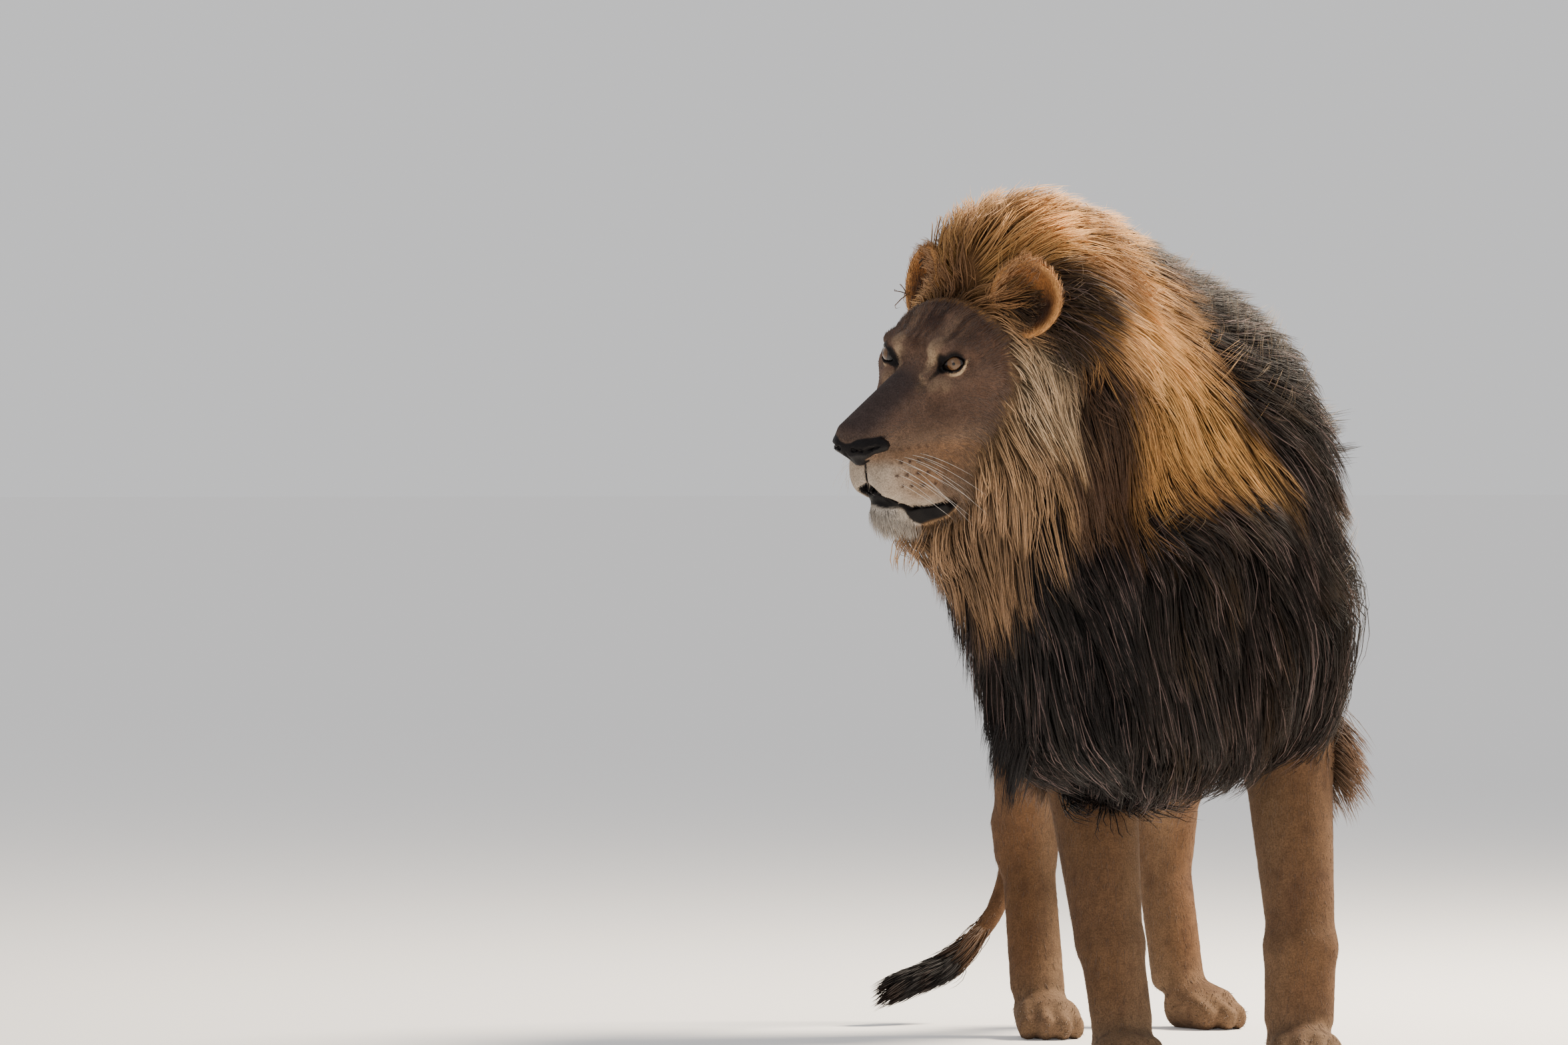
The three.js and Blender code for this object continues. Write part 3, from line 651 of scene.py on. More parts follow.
def finer(mesh, level):
    """Cuts in two each edge of the faces in a zone, and the faces with them."""
    inside = face_zone(read(mesh.polygons, "center", 3), level)
    edge_of = read(mesh.loops, "edge_index", kind=int)
    chosen = np.unique(edge_of[np.repeat(inside, read(mesh.polygons, "loop_total", kind=int))])
    shape = bmesh.new()
    shape.from_mesh(mesh)
    shape.edges.ensure_lookup_table()
    bmesh.ops.subdivide_edges(shape, edges=[shape.edges[i] for i in chosen], cuts=1, use_grid_fill=True)
    shape.to_mesh(mesh)
    shape.free()


def add_ears(mesh):
    """Adds both ears' cups to the skin's mesh."""
    shape = bmesh.new()
    shape.from_mesh(mesh)
    for side in (1, -1):
        points, faces = ear_surface(side)
        shape.from_mesh(mesh_of("ear", from_head(points), faces))
    bmesh.ops.recalc_face_normals(shape, faces=shape.faces)
    shape.to_mesh(mesh)
    shape.free()


# The low corner of the grid round the lion, and its lengths.
SKIN_LOW, SKIN_SPAN = np.array([-700.0, -640.0, -40.0]), (1060, 2180, 1520)


def make_skin():
    """The skin: a net round the field, made finer over the face, and settled onto the field."""
    values = band_values(skin_field, SKIN_LOW, [math.ceil(span / GRID / COARSE) for span in SKIN_SPAN])
    points, quads = surface_net(values, SKIN_LOW)
    mesh = mesh_of("skin", points, quads.tolist())
    for level in range(3):
        finer(mesh, level)
        place = read(mesh.vertices, "co", 3)
        if level < 2:
            place = settle(skin_field, place, 1)
            mesh.vertices.foreach_set("co", place.ravel())
    edges = read(mesh.edges, "vertices", 2, int)
    for _ in range(2):
        place = relax(settle(skin_field, place, 1), edges, 0.35)
    place = settle(skin_field, place, 2)
    place[:, 2] = np.maximum(place[:, 2], 0)
    mesh.vertices.foreach_set("co", place.ravel())
    add_ears(mesh)
    return mesh, read(mesh.vertices, "co", 3), values


# ---- markings: one set of colours for the skin and every tuft that grows from it ----


def shade(red, green, blue):
    """A colour given as 0 to 255 on a screen, as the linear values that the shaders take."""
    value = np.array([red, green, blue]) / 255
    return np.where(value <= 0.04045, value / 12.92, ((value + 0.055) / 1.055) ** 2.4)


TAWNY, WARM, PALE = shade(118, 88, 63), shade(114, 80, 52), shade(140, 116, 92)
BROWN, GREYBROWN, UMBER = shade(82, 58, 44), shade(54, 45, 44), shade(56, 38, 30)
CREAM, RUFF = shade(186, 160, 128), shade(158, 128, 98)
# the second of these is a painted grey-violet sheen for a few of the dark mane's tufts
WHITE, PAINTED_SHEEN_GREY = shade(156, 147, 137), shade(128, 106, 102)
# the second of these is a painted sunlit gold, for a patch of sunlight on the neck's flank
GOLD, PAINTED_SUN_GOLD, GINGER = shade(186, 138, 80), shade(220, 170, 102), shade(124, 86, 54)
DARK, BLACK, LEATHER = shade(15, 11, 12), shade(12, 9, 10), shade(15, 12, 13)
FACE_BROWN, FACE_WARM, CHEEK = shade(100, 78, 65), shade(88, 62, 47), shade(132, 108, 86)
PAD, LIP = shade(130, 108, 88), shade(168, 154, 138)
EAR_INSIDE, EAR_RIM = shade(150, 98, 54), shade(184, 132, 80)

LATTICE = np.random.default_rng(7).random((32, 32, 32))


def noise(points, size, offset=0.0):
    """Smooth noise from 0 to 1: a lattice of random values, repeated, with smooth steps between."""
    place = points / size + offset
    cell = np.floor(place).astype(int)
    t = place - cell
    t = t * t * (3 - 2 * t)
    total = 0
    for corner in np.ndindex(2, 2, 2):
        weight = np.prod(np.where(corner, t, 1 - t), axis=1)
        total = total + weight * LATTICE[tuple(((cell + corner) % 32).T)]
    return total


def lay(colour, other, share):
    """Paints one colour over the others by a share for each point."""
    return colour + np.clip(share, 0, 1)[:, None] * (other - colour)


def paint(colour, *layers):
    """Lays each (colour, share) over those before it."""
    for other, share in layers:
        colour = lay(colour, other, share)
    return colour


def plain(colour, points):
    """The same colour, or the same direction, for every point."""
    return np.tile(colour, (len(points), 1))


NECK_FROM = np.array([-255, -146, 1125])  # where the neck's line starts, at the back of the head
NECK_WAY = np.array([0.66, 0.63, -0.41])
NECK_TOP = 1227  # the level from which the slant of the dark behind the gold is measured
UNDER_GOLD = np.array([  # (along the flank, z) where dark begins
    (-260, 800), (-172, 770), (-102, 740), (-33, 820), (0, 855), (107, 873), (176, 930), (322, 945),
])
BESIDE_EAR, BESIDE_EAR_SIZE = (138, 168, 72), (58, 56, 82)  # dark hair beside each ear, in the head's frame


def mane_paint(p, q):
    """Gold over the crest and the neck's flank with a painted patch of sunlight on it, pale by the cheeks
    with a painted sunlit highlight below the ear, nearly black on withers and chest.
    """
    wobble = (noise(p, 70) - 0.5) * 70 + (noise(p, 24, 5.0) - 0.5) * 50
    off, z = p - NECK_FROM, p[:, 2]
    flank = np.maximum(0.995 * off[:, 0] - 0.105 * off[:, 1], 0.999 * off[:, 1] - 0.06 * off[:, 0])
    rough = z + 0.5 * wobble
    behind = ramp(flank - 148 - 0.67 * (NECK_TOP - z) + 0.6 * wobble, -30, 30)
    under = ramp(z - np.interp(flank, *UNDER_GOLD.T) + 0.9 * wobble, 40, -40)
    # painted sunlight: a slanting band of pale gold across the neck's flank
    painted_sun_patch = ramp(np.abs(flank - 118 - 0.75 * (1180 - z) + 0.3 * wobble), 75, 25)
    band = ramp(np.abs(flank - 62 + 0.4 * wobble), 78, 42) * ramp(rough, 1170, 1090)
    ruff = ramp(flank + 0.3 * wobble, 30, -20) * ramp(rough, 1200, 1130)
    # painted sunlight: a cream highlight in the ruff just below the ear
    painted_sun_below_ear = ramp(np.abs(flank + 22 + 0.2 * wobble), 58, 25) * ramp(z, 1170, 1130) * ramp(rough, 960, 1040)
    beside = np.linalg.norm((left_half(q) - BESIDE_EAR) / BESIDE_EAR_SIZE, axis=1)
    return paint(
        plain(GOLD, p),
        (GINGER, ramp(noise(p, 60, 3.0), 0.4, 0.75) * 0.7),
        (GINGER, ramp(z + wobble, 1240, 1140) * ramp(z + wobble, 1020, 1100) * 0.4),
        (PAINTED_SUN_GOLD, painted_sun_patch * ramp(z, 920, 980) * ramp(z, 1240, 1160) * 0.6),
        (UMBER, band * 0.92),
        (RUFF, ruff * 0.8),
        (BROWN, ruff * ramp(z + 0.6 * wobble, 980, 800) * 0.5),
        (CREAM, painted_sun_below_ear * 0.85),
        (DARK, np.maximum(behind, under) * (0.985 - 0.04 * ramp(noise(p, 40, 12.0), 0.55, 0.8))),
        (BROWN, ramp(q[:, 2], 40, 90) * ramp(q[:, 1], 170, 60) * 0.8),
        (DARK, ramp(beside + 0.006 * wobble, 1.3, 0.8) * 0.9),
    )


def body_paint(p):
    """Tawny, paler below and inside the legs, warmer behind, with a dark tip to the tail, all darkened as
    painted shade, the legs most.
    """
    x, y, z = p.T
    belly = ramp(z, 690, 600) * ramp(z, 480, 560) * ramp(np.abs(x + 20), 150, 90)
    inner = ramp(np.abs(x + 5), 150, 100) * ramp(z, 620, 480)
    colour = paint(
        plain(TAWNY, p),
        (WARM, ramp(y, 700, 1150) * 0.5),
        (BROWN, ramp(z, 930, 1060) * 0.35),
        (PALE, belly * 0.8),
        (PALE, inner * 0.45),
        (PALE, ramp(z, 150, 40) * 0.5),
    )
    # painted shade: the whole coat is darkened, and the legs more, as if lying in shadow
    return paint(
        colour * (0.82 - 0.22 * ramp(z, 700, 460))[:, None],
        (DARK, ramp(np.linalg.norm(p - TAIL_LINE[-1], axis=1), 170, 120)),
        (BROWN, (noise(p, 60, 9.0) - 0.4) * 0.6),
        (UMBER, ramp(noise(p * (1, 1, 0.4), 14, 5.0), 0.62, 0.9) * 0.35),
    )


def fur_paint(q, half, speckle):
    """The face's coat: brown, with a grey muzzle, a streaked brow, and pale lips and patches at the eyes."""
    x, y, z = half.T
    streak = noise(q * (1, 0.35, 0.35), 7, 6.0) - 0.5
    over_lip = z - mouth_height(q)

    def blob(middle, size, soft=0.5, rough=0.5):
        away = np.linalg.norm((half - middle) / size, axis=1)
        return ramp(away + rough * speckle, 1 + soft / 2, 1 - soft / 2)

    ridge = ramp(x, 46, 24) * ramp(z - 0.43 * y, -58, -38) * ramp(y, -10, -60)
    brow = ramp(x + 22 * streak, 40, 14) * ramp(z, 8, 40) * ramp(y, 110, 70)
    below_eye = ramp(z, -22, -50) * ramp(z, -120, -85) * ramp(y, 60, 0) * ramp(y, -120, -80) * ramp(x, 30, 50)
    brow_side = ramp(np.abs(x - 40 - 0.2 * z), 8, 2) * ramp(z, 22, 40) * ramp(z, 80, 60)
    pad_side = ramp(x, 26, 46) * ramp(y, -140, -120) * ramp(over_lip, 30, 46) * ramp(z, -104, -122)
    chin = ramp(over_lip, -4, -16) * ramp(y, 0, -50)
    return paint(
        plain(FACE_BROWN, q),
        (FACE_WARM, ramp(y, 10, 70) * ramp(z, -90, 0) * 0.7),
        (BROWN, ramp(noise(q, 34), 0.45, 0.8) * 0.35),
        (GREYBROWN, ridge * 0.9),
        (UMBER, brow * (0.6 + 2.2 * streak)),
        (CHEEK, blob((48, 8, 62), (18, 40, 26), 1.2, 1.0) * 0.35),
        (UMBER, below_eye * 0.4),
        (UMBER, brow_side * 0.75),
        (UMBER, blob((70, 30, 30), (26, 46, 44), 1.2, 1.2) * 0.5),
        (CREAM, blob((33, -34, 8), (10, 24, 22), 1.0, 0.9) * 0.62),
        (PALE, blob((38, -18, 38), (11, 22, 22), 1.0, 0.9) * 0.55),
        (PALE, blob((54, -36, -27), (26, 22, 12), 1.1, 0.8) * 0.5),
        (UMBER, blob((25, -56, -42), (8, 26, 12)) * 0.35),
        (CHEEK, ramp(z, -70, -130) * ramp(y, 110, 40) * 0.55),
        (PAD, blob((38, -100, -165), (46, 64, 46), 0.4, 0.25) * 0.7),
        (GINGER, pad_side * 0.4),
        (LIP, ramp(over_lip, 30, 6) * ramp(y, -20, -70) * 0.75),
        (LIP, ramp(z, -124, -146) * ramp(y, -84, -140) * 0.7),
        (WHITE, chin * ramp(x + 20 * speckle, 48, 26) * ramp(z + 16 * speckle, -262, -236)),
    )


ROW_GAP, SPOT_GAP = 18.5, 14.5  # between the rows of whisker spots, and between the spots of a row


def whisker_spots(q):
    """Dark spots in rows on the whisker pad, each a little out of line."""
    x, y, z = left_half(q).T
    wave = (noise(q, 13, 8.0) - 0.5) * 5
    row = (z + wave * 0.5 + 172) / ROW_GAP
    step = (y + 130 + wave) / SPOT_GAP + 0.5 * np.floor(row + 0.5)
    spot = np.hypot((row - np.round(row)) * ROW_GAP, (step - np.round(step)) * SPOT_GAP)
    dots = ramp(spot, 3.8, 1.5) * (np.abs(row - 1.5) < 2) * ramp(x, 28, 40) * ramp(y, -134, -124)
    return dots * ramp(y, -50, -66) * (0.6 + 0.4 * (np.round(row) < 2.5))


def ear_paint(colour, q):
    """Ginger ears, with painted shade low and deep in the cup, and black behind."""
    for side in (1, -1):
        local, share = ear_place(q, side)
        back = local[:, 1] - EAR_DEEP * (1 - share**2)
        tone = paint(
            plain(EAR_INSIDE, q),
            (EAR_RIM, ramp(share, 0.85, 0.98)),
            # painted shade: the lower, inner part of the cup is darkened, where the rim shades it
            (UMBER, ramp(local[:, 2], 26, -14) * ramp(share, 0.95, 0.7) * 0.95),
            (BLACK, ramp(back, 5, 8) * ramp(share, 1.02, 0.9)),
        )
        on_ear = (share < 1.15) & (local[:, 1] > -12) & (local[:, 1] < 54)
        colour = np.where(on_ear[:, None], tone, colour)
    return colour


# The black line below the eye, (x, z): its start and its run.
TEAR_FROM, TEAR_RUN = np.array([42.0, -10.0]), np.array([-9.0, -15.0])


def eye_paint(colour, half, speckle):
    """The bare black lids, inner corner and tear line, and the pale crescent under the eye."""
    opening, local = lid_opening(half, 1)
    u, v, out = local.T
    front = ramp(out, -4, 4)
    crescent = ramp(np.abs(opening - 6.5), 3.6, 1.6) * ramp(v, 1, -6) * ramp(u, -18, -4)
    inner = np.hypot((u + 15) / 11, (v - 6) / 16)
    corner = np.hypot((u + 21) / 9, (v + 2) / 8)
    below = half[:, [0, 2]] - TEAR_FROM
    share = np.clip((below @ TEAR_RUN) / (TEAR_RUN @ TEAR_RUN), 0, 1)
    tear = np.linalg.norm(below - share[:, None] * TEAR_RUN, axis=1)
    return paint(
        colour,
        (CREAM, crescent * front * 0.8),
        (BLACK, ramp(opening, 4.6, 2.6) * front),
        (BLACK, ramp(opening, 13, 4) * ramp(v, 2, 8) * front * 0.85),
        (BLACK, ramp(inner + 0.3 * speckle, 1.2, 0.6) * front * 0.95),
        (BLACK, ramp(corner, 1.2, 0.7) * ramp(out, -12, -4)),
        (BLACK, ramp(tear, 7 - 4 * share, 3.5 - 3 * share) * ramp(half[:, 1], 0, -8) * (1 - 0.6 * share)),
    )


def bare_paint(colour, q, speckle):
    """The black lips below the upper lip's edge, and the bare nose with the groove below it."""
    x, y, z = left_half(q).T
    drop = z - mouth_height(q)
    depth = np.interp(y, *LIP_DEPTH.T)
    depth = depth + in_front(q) * (mouth_height(q) + LIP_FRONT_FOOT - depth) + 4 * speckle
    lips = ramp(drop, -depth - 2, -depth + 3) * ramp(drop, 1.5, 0) * ramp(y, -6, -14) * ramp(y, -190, -180)
    top, foot = np.interp(x, *NOSE_TOP.T), np.interp(x, *NOSE_FOOT.T)
    leather = ramp(z - top, 1.2, -1.2) * ramp(z - foot, -1.2, 1.2) * ramp(nose_field(q), 4.5, 2.5)
    groove = ramp(x, 2.8, 1.4) * ramp(z, -128, -132) * ramp(drop, -2, 2) * ramp(y, -126, -134)
    return paint(colour, (BLACK, lips), (LEATHER, np.maximum(leather, groove)))


def face_paint(q):
    """The face's markings, from the head's own axes."""
    half, speckle = left_half(q), noise(q, 9, 2.0) - 0.5
    colour = lay(fur_paint(q, half, speckle), UMBER, whisker_spots(q))
    return bare_paint(eye_paint(ear_paint(colour, q), half, speckle), q, speckle)


# Where the face ends and the mane begins, (z, y).
FACE_FRONT = np.array([(-330, -100), (-255, -62), (-215, -8), (-120, 16), (0, 76), (78, 62), (160, 40)])


def behind_face(q):
    """How far a point is behind the line where the mane begins, in the head's frame."""
    return q[:, 1] - np.interp(q[:, 2], *FACE_FRONT.T)


def ear_share(p, q):
    """Which points lie on an ear's cup, and not on the skull where the cup passes through it."""
    away = ear_distance(q)
    near = away < 4
    share = np.zeros(len(p))
    share[near] = ramp(away[near], 4, 1) * ramp(skin_field(p[near]), 0.5, 3)
    return share


def on_crown(q):
    """1 on top of the skull behind the forehead, where the mane begins."""
    return (
        ramp(behind_face(q), 6, 24) * ramp(np.abs(q[:, 0]), 130, 100)
        * ramp(q[:, 2], 30, 50) * ramp(q[:, 1], 260, 200) * (q[:, 2] < 330)
    )


def markings(p):
    """The colour of the coat at points of the drawing."""
    q = to_head(p)
    after_mane = ramp(p[:, 1] + 130 * (noise(p, 45, 8.0) - 0.5), 560, 360) * ramp(p[:, 2], 560, 680)
    colour = lay(body_paint(p), UMBER, after_mane * 0.85)
    inside = np.maximum(ramp(mane_field(p) + 24 * (noise(p, 30, 2.0) - 0.5), 14, -16), on_crown(q))
    colour = lay(colour, mane_paint(p, q), inside)
    near = near_head(q)
    face = np.zeros((len(p), 3))
    face[near] = face_paint(q[near])
    return lay(colour, face, np.maximum(ramp(behind_face(q), 14, -6) * near, ear_share(p, q)))


# ---- eyes ----


EYE_BULGE, BULGE_TO = 1.5, 40  # how far the clear front stands out, and the angle from the gaze where it ends


def make_eye(side, material, node):
    """A ball round the gaze: rings at even angles from it, with the clear front bulging by a cosine."""
    rings, around = 48, 64
    tilt = np.linspace(0, math.pi, rings)[1:-1]
    turn = np.arange(around) / around * 2 * math.pi
    share = np.clip(tilt / math.radians(BULGE_TO), 0, 1)
    radius = EYE_RADIUS + EYE_BULGE * np.maximum(0, np.cos(share * math.pi / 2)) ** 1.5
    ring = np.stack([
        radius[:, None] * np.sin(tilt)[:, None] * np.cos(turn),
        radius[:, None] * np.sin(tilt)[:, None] * np.sin(turn),
        np.repeat((radius * np.cos(tilt))[:, None], around, axis=1),
    ], axis=-1).reshape(-1, 3)
    local = np.concatenate([[(0, 0, EYE_RADIUS + EYE_BULGE)], ring, [(0, 0, -EYE_RADIUS)]])
    quads = ring_quads(rings - 2, around, 1)[:, [0, 3, 2, 1]]
    k = np.arange(around)
    after = (k + 1) % around
    last = 1 + (rings - 3) * around
    front = np.stack([np.zeros(around, int), 1 + k, 1 + after], axis=1)
    back = np.stack([np.full(around, len(local) - 1), last + after, last + k], axis=1)
    axes = eye_axes(side)
    turned_out = slice(None, None, -1 if np.linalg.det(axes) < 0 else 1)
    faces = [face for part in (quads, front, back) for face in part[:, turned_out].tolist()]
    mesh = mesh_of(node, to_frame(from_head(local @ axes.T + EYE_AT * (side, 1, 1))), faces)
    give(mesh, "from_gaze", "FLOAT_VECTOR", "vector", local / 1000)
    return make_object("eyeball_" + node[4:], mesh, material, "eye", node)


# ---- materials ----


class Nodes:
    """A short way to add shader nodes and link them."""

    def __init__(self, name):
        self.material = bpy.data.materials.new(name)
        self.material.use_nodes = True
        self.tree = self.material.node_tree
        self.shader = self.tree.nodes["Principled BSDF"]

    def add(self, kind, **inputs):
        node = self.tree.nodes.new("ShaderNode" + kind)
        for key, value in inputs.items():
            self.set(node, key, value)
        return node

    def join(self, socket, value):
        """Links a value that another node gives, or sets a plain one."""
        if isinstance(value, bpy.types.NodeSocket):
            self.tree.links.new(value, socket)
        else:
            socket.default_value = value

    def set(self, node, key, value):
        name = key.replace("_", " ")
        socket = next((s for s in node.inputs if s.name == name or s.identifier == key), None)
        if socket is None:
            setattr(node, key, value)
        else:
            self.join(socket, value)

    def look(self, **inputs):
        """Sets the shader's own inputs by name."""
        for key, value in inputs.items():
            self.set(self.shader, key, value)

    def maths(self, operation, a, b=0.0):
        node = self.tree.nodes.new("ShaderNodeMath")
        node.operation = operation
        self.join(node.inputs[0], a)
        self.join(node.inputs[1], b)
        return node.outputs[0]

    def mix(self, share, a, b, blend="MIX"):
        node = self.tree.nodes.new("ShaderNodeMix")
        node.data_type, node.blend_type = "RGBA", blend
        for socket, value in ((node.inputs[0], share), (node.inputs[6], a), (node.inputs[7], b)):
            self.join(socket, value)
        return node.outputs[2]

    def attribute(self, name, output):
        node = self.tree.nodes.new("ShaderNodeAttribute")
        node.attribute_name = name
        return node.outputs[output]

    def noise(self, scale, detail, vector=None):
        where = vector or self.tree.nodes.new("ShaderNodeTexCoord").outputs["Object"]
        return self.add("TexNoise", Vector=where, Scale=scale, Detail=detail).outputs["Fac"]

    def ramp(self, value, low, high, to_low=0.0, to_high=1.0):
        node = self.tree.nodes.new("ShaderNodeMapRange")
        node.interpolation_type = "SMOOTHSTEP"
        self.tree.links.new(value, node.inputs[0])
        for socket, number in zip(list(node.inputs)[1:5], (low, high, to_low, to_high)):
            socket.default_value = number
        return node.outputs[0]

    def bump(self, height, strength, distance):
        node = self.add("Bump", Strength=strength, Distance=distance, Height=height)
        self.tree.links.new(node.outputs[0], self.shader.inputs["Normal"])


def solid(red, green, blue):
    """A shade with full alpha, as a node's socket takes it."""
    return (*shade(red, green, blue), 1)


def skin_material():
    """Short fur seen from close by: the markings, broken by fine noise, over a bump of short hairs."""
    n = Nodes("short_fur_skin")
    pelt = n.attribute("pelt", "Color")
    bare = n.attribute("bare", "Fac")
    fine = n.noise(420, 3)
    broad = n.noise(60, 4)
    mottle = n.maths("MULTIPLY", n.ramp(fine, 0.3, 0.7, 0.72, 1.22), n.ramp(broad, 0.3, 0.7, 0.88, 1.1))
    tint = n.add("CombineColor", Red=mottle, Green=mottle, Blue=mottle).outputs[0]
    colour = n.mix(1.0, pelt, tint, "MULTIPLY")
    n.look(Base_Color=colour, Roughness=n.ramp(bare, 0.0, 1.0, 0.85, 0.5), Specular_IOR_Level=0.12)
    pebbles = n.add("TexVoronoi", Scale=620.0).outputs["Distance"]
    height = n.mix(bare, n.noise(900, 3), n.maths("MULTIPLY", pebbles, 0.45))
    n.bump(height, 0.5, 0.0012)
    return n.material


# Distances from the gaze in metres, as (start, end) of each change of tone.
PUPIL_EDGE, INNER_IRIS = (0.0021, 0.0027), (0.0045, 0.009)
IRIS_RIM, IRIS_EDGE = (0.0088, 0.0108), (0.0105, 0.0118)


def eye_material():
    """A wet amber eye: a round pupil, an iris of fine spokes with a dark edge, and a dark brown white."""
    n = Nodes("amber_eye")
    local = n.attribute("from_gaze", "Vector")
    parts = n.add("SeparateXYZ", Vector=local)
    across, up = parts.outputs[0], parts.outputs[1]
    squares = n.maths("ADD", n.maths("POWER", across, 2.0), n.maths("POWER", up, 2.0))
    radius, angle = n.maths("SQRT", squares), n.maths("ARCTAN2", across, up)
    spoke = n.add("CombineXYZ", X=n.maths("MULTIPLY", angle, 2.2), Y=n.maths("MULTIPLY", radius, 60.0))
    fibre = n.noise(6.0, 5, vector=spoke.outputs[0])
    amber = n.mix(n.ramp(fibre, 0.35, 0.68), solid(62, 42, 26), solid(116, 82, 48))
    amber = n.mix(n.ramp(radius, *INNER_IRIS), solid(98, 72, 46), amber)
    amber = n.mix(n.ramp(radius, *IRIS_RIM), amber, solid(46, 27, 16))
    white = n.mix(n.ramp(radius, *IRIS_EDGE), amber, solid(14, 10, 9))
    colour = n.mix(n.ramp(radius, *PUPIL_EDGE), solid(6, 5, 5), white)
    n.look(Base_Color=colour, Roughness=0.25, Specular_IOR_Level=0.3, Coat_Weight=0.35, Coat_Roughness=0.02)
    return n.material


# ---- the picture: floor, camera, lights ----

CAMERA_TURN = -6  # degrees round the lion
CAMERA_AWAY, CAMERA_ASIDE, CAMERA_HEIGHT = 17.66, 0.216, 1.18
CAMERA_DIP = 0.99  # degrees below level
LENS, SENSOR = 264.7, 36.0
FLOOR_HALF = 60.0
LIT_AT = Vector((0, -0.3, 0.8))
LIGHTS = [  # name, place from LIT_AT to the right, towards the camera and up, then size, power and colour
    ("sun_side", (3.2, -1.9, 3.2), 1.6, 1100, (1.0, 0.86, 0.68)),
    ("front_fill", (-2.5, 5.0, 2.2), 3.0, 30, (0.93, 0.96, 1.0)),
]


def view_axes():
    """To the camera's right, and from the lion towards the camera."""
    turn = math.radians(CAMERA_TURN)
    return Vector((math.cos(turn), math.sin(turn), 0)), Vector((math.sin(turn), -math.cos(turn), 0))


def aimed(name, data, place, way):
    """A camera or a light at a place, looking along a way."""
    made = bpy.data.objects.new(name, data)
    made.location = place
    made.rotation_mode = "QUATERNION"
    made.rotation_quaternion = way.to_track_quat("-Z", "Y")
    bpy.context.scene.collection.objects.link(made)
    return made


def make_camera():
    """A long lens, placed from the eyes."""
    right, back = view_axes()
    place = Vector(middle_of("eye_left", "eye_right")) + back * CAMERA_AWAY - right * CAMERA_ASIDE
    place.z = CAMERA_HEIGHT
    data = bpy.data.cameras.new("camera")
    data.lens, data.sensor_width, data.clip_end = LENS, SENSOR, 200
    look = -back - Vector((0, 0, math.tan(math.radians(CAMERA_DIP))))
    bpy.context.scene.camera = aimed("camera", data, place, look)


def make_studio():
    """A wide pale floor, a pale sky, a warm light high behind the lion's left, and a soft one in front."""
    corners = np.array([(-1, -1, 0), (1, -1, 0), (1, 1, 0), (-1, 1, 0)]) * FLOOR_HALF
    mesh = mesh_of("floor", corners, [(0, 1, 2, 3)])
    floor = bpy.data.objects.new("floor", mesh)
    bpy.context.scene.collection.objects.link(floor)
    n = Nodes("pale_floor")
    n.look(Base_Color=(0.86, 0.85, 0.84, 1), Roughness=0.9)
    n.look(Emission_Color=(0.95, 0.95, 1.0, 1), Emission_Strength=0.07)
    mesh.materials.append(n.material)
    world = bpy.data.worlds.new("pale_sky")
    world.use_nodes = True
    world.node_tree.nodes["Background"].inputs["Color"].default_value = (0.90, 0.90, 0.91, 1)
    world.node_tree.nodes["Background"].inputs["Strength"].default_value = 0.85
    bpy.context.scene.world = world
    right, back = view_axes()
    for name, (aside, ahead, up), size, power, colour in LIGHTS:
        place = LIT_AT + right * aside + back * ahead + Vector((0, 0, up))
        data = bpy.data.lights.new(name, "AREA")
        data.shape, data.size, data.energy, data.color = "DISK", size, power, colour
        aimed(name, data, place, LIT_AT - place)


# ---- the coat: solid tapered tufts ----


def unit(v):
    """Each vector at a length of 1."""
    return v / np.maximum(np.linalg.norm(v, axis=-1, keepdims=True), 1e-9)


def read_grid(values, low, points):
    """A grid's value at each point, weighed between the eight corners round it."""
    place = np.clip((points - low) / GRID, 0, np.array(values.shape) - 1.001)
    cell = place.astype(int)
    t = place - cell
    total = 0
    for corner in np.ndindex(2, 2, 2):
        weight = np.prod(np.where(corner, t, 1 - t), axis=1)
        total = total + weight * values[tuple((cell + corner).T)]
    return total


def tail_way(p):
    """The tail's own direction at its nearest place."""
    nearest = np.argmin(np.linalg.norm(p[:, None] - TAIL_PATH[None, :-1], axis=2), axis=1)
    return unit(np.diff(TAIL_PATH, axis=0)[nearest])


def body_flow(p, n):
    """The lie of the short coat: back along the trunk, down the legs, forward on the paws, along the tail."""
    way = paint(
        plain((0.0, 1.0, -0.28), p),
        (np.array([0.0, 0.22, -1.0]), ramp(p[:, 2], 640, 460)),
        (np.array([0.0, -1.0, -0.25]), ramp(p[:, 2], 95, 50)),
    )
    on_tail = (ramp(tail_field(p), 12, 4) > 0.5) & (p[:, 1] > 1290)
    way = np.where(on_tail[:, None], tail_way(p), way)
    q = to_head(p)
    x, z = q[:, 0], q[:, 2]
    rise = 0.9 * ramp(z, -60, 10) - 0.9 * ramp(z, -110, -170) - 0.15
    in_head = paint(
        np.stack([0.5 * np.sign(x) * ramp(np.abs(x), 10, 60), np.ones(len(q)), rise], axis=1),
        (np.array([0.0, 0.5, -1.0]), ramp(z - mouth_height(q), 0, -15)),
        (np.array([0.0, 0.35, -1.0]), ramp(behind_face(q), -70, 10) * ramp(z, 40, -30) * 0.7),
    )
    return unit(lay(way, in_head @ HEAD_AXES.T, ramp(behind_face(q), 30, 0) * near_head(q)))


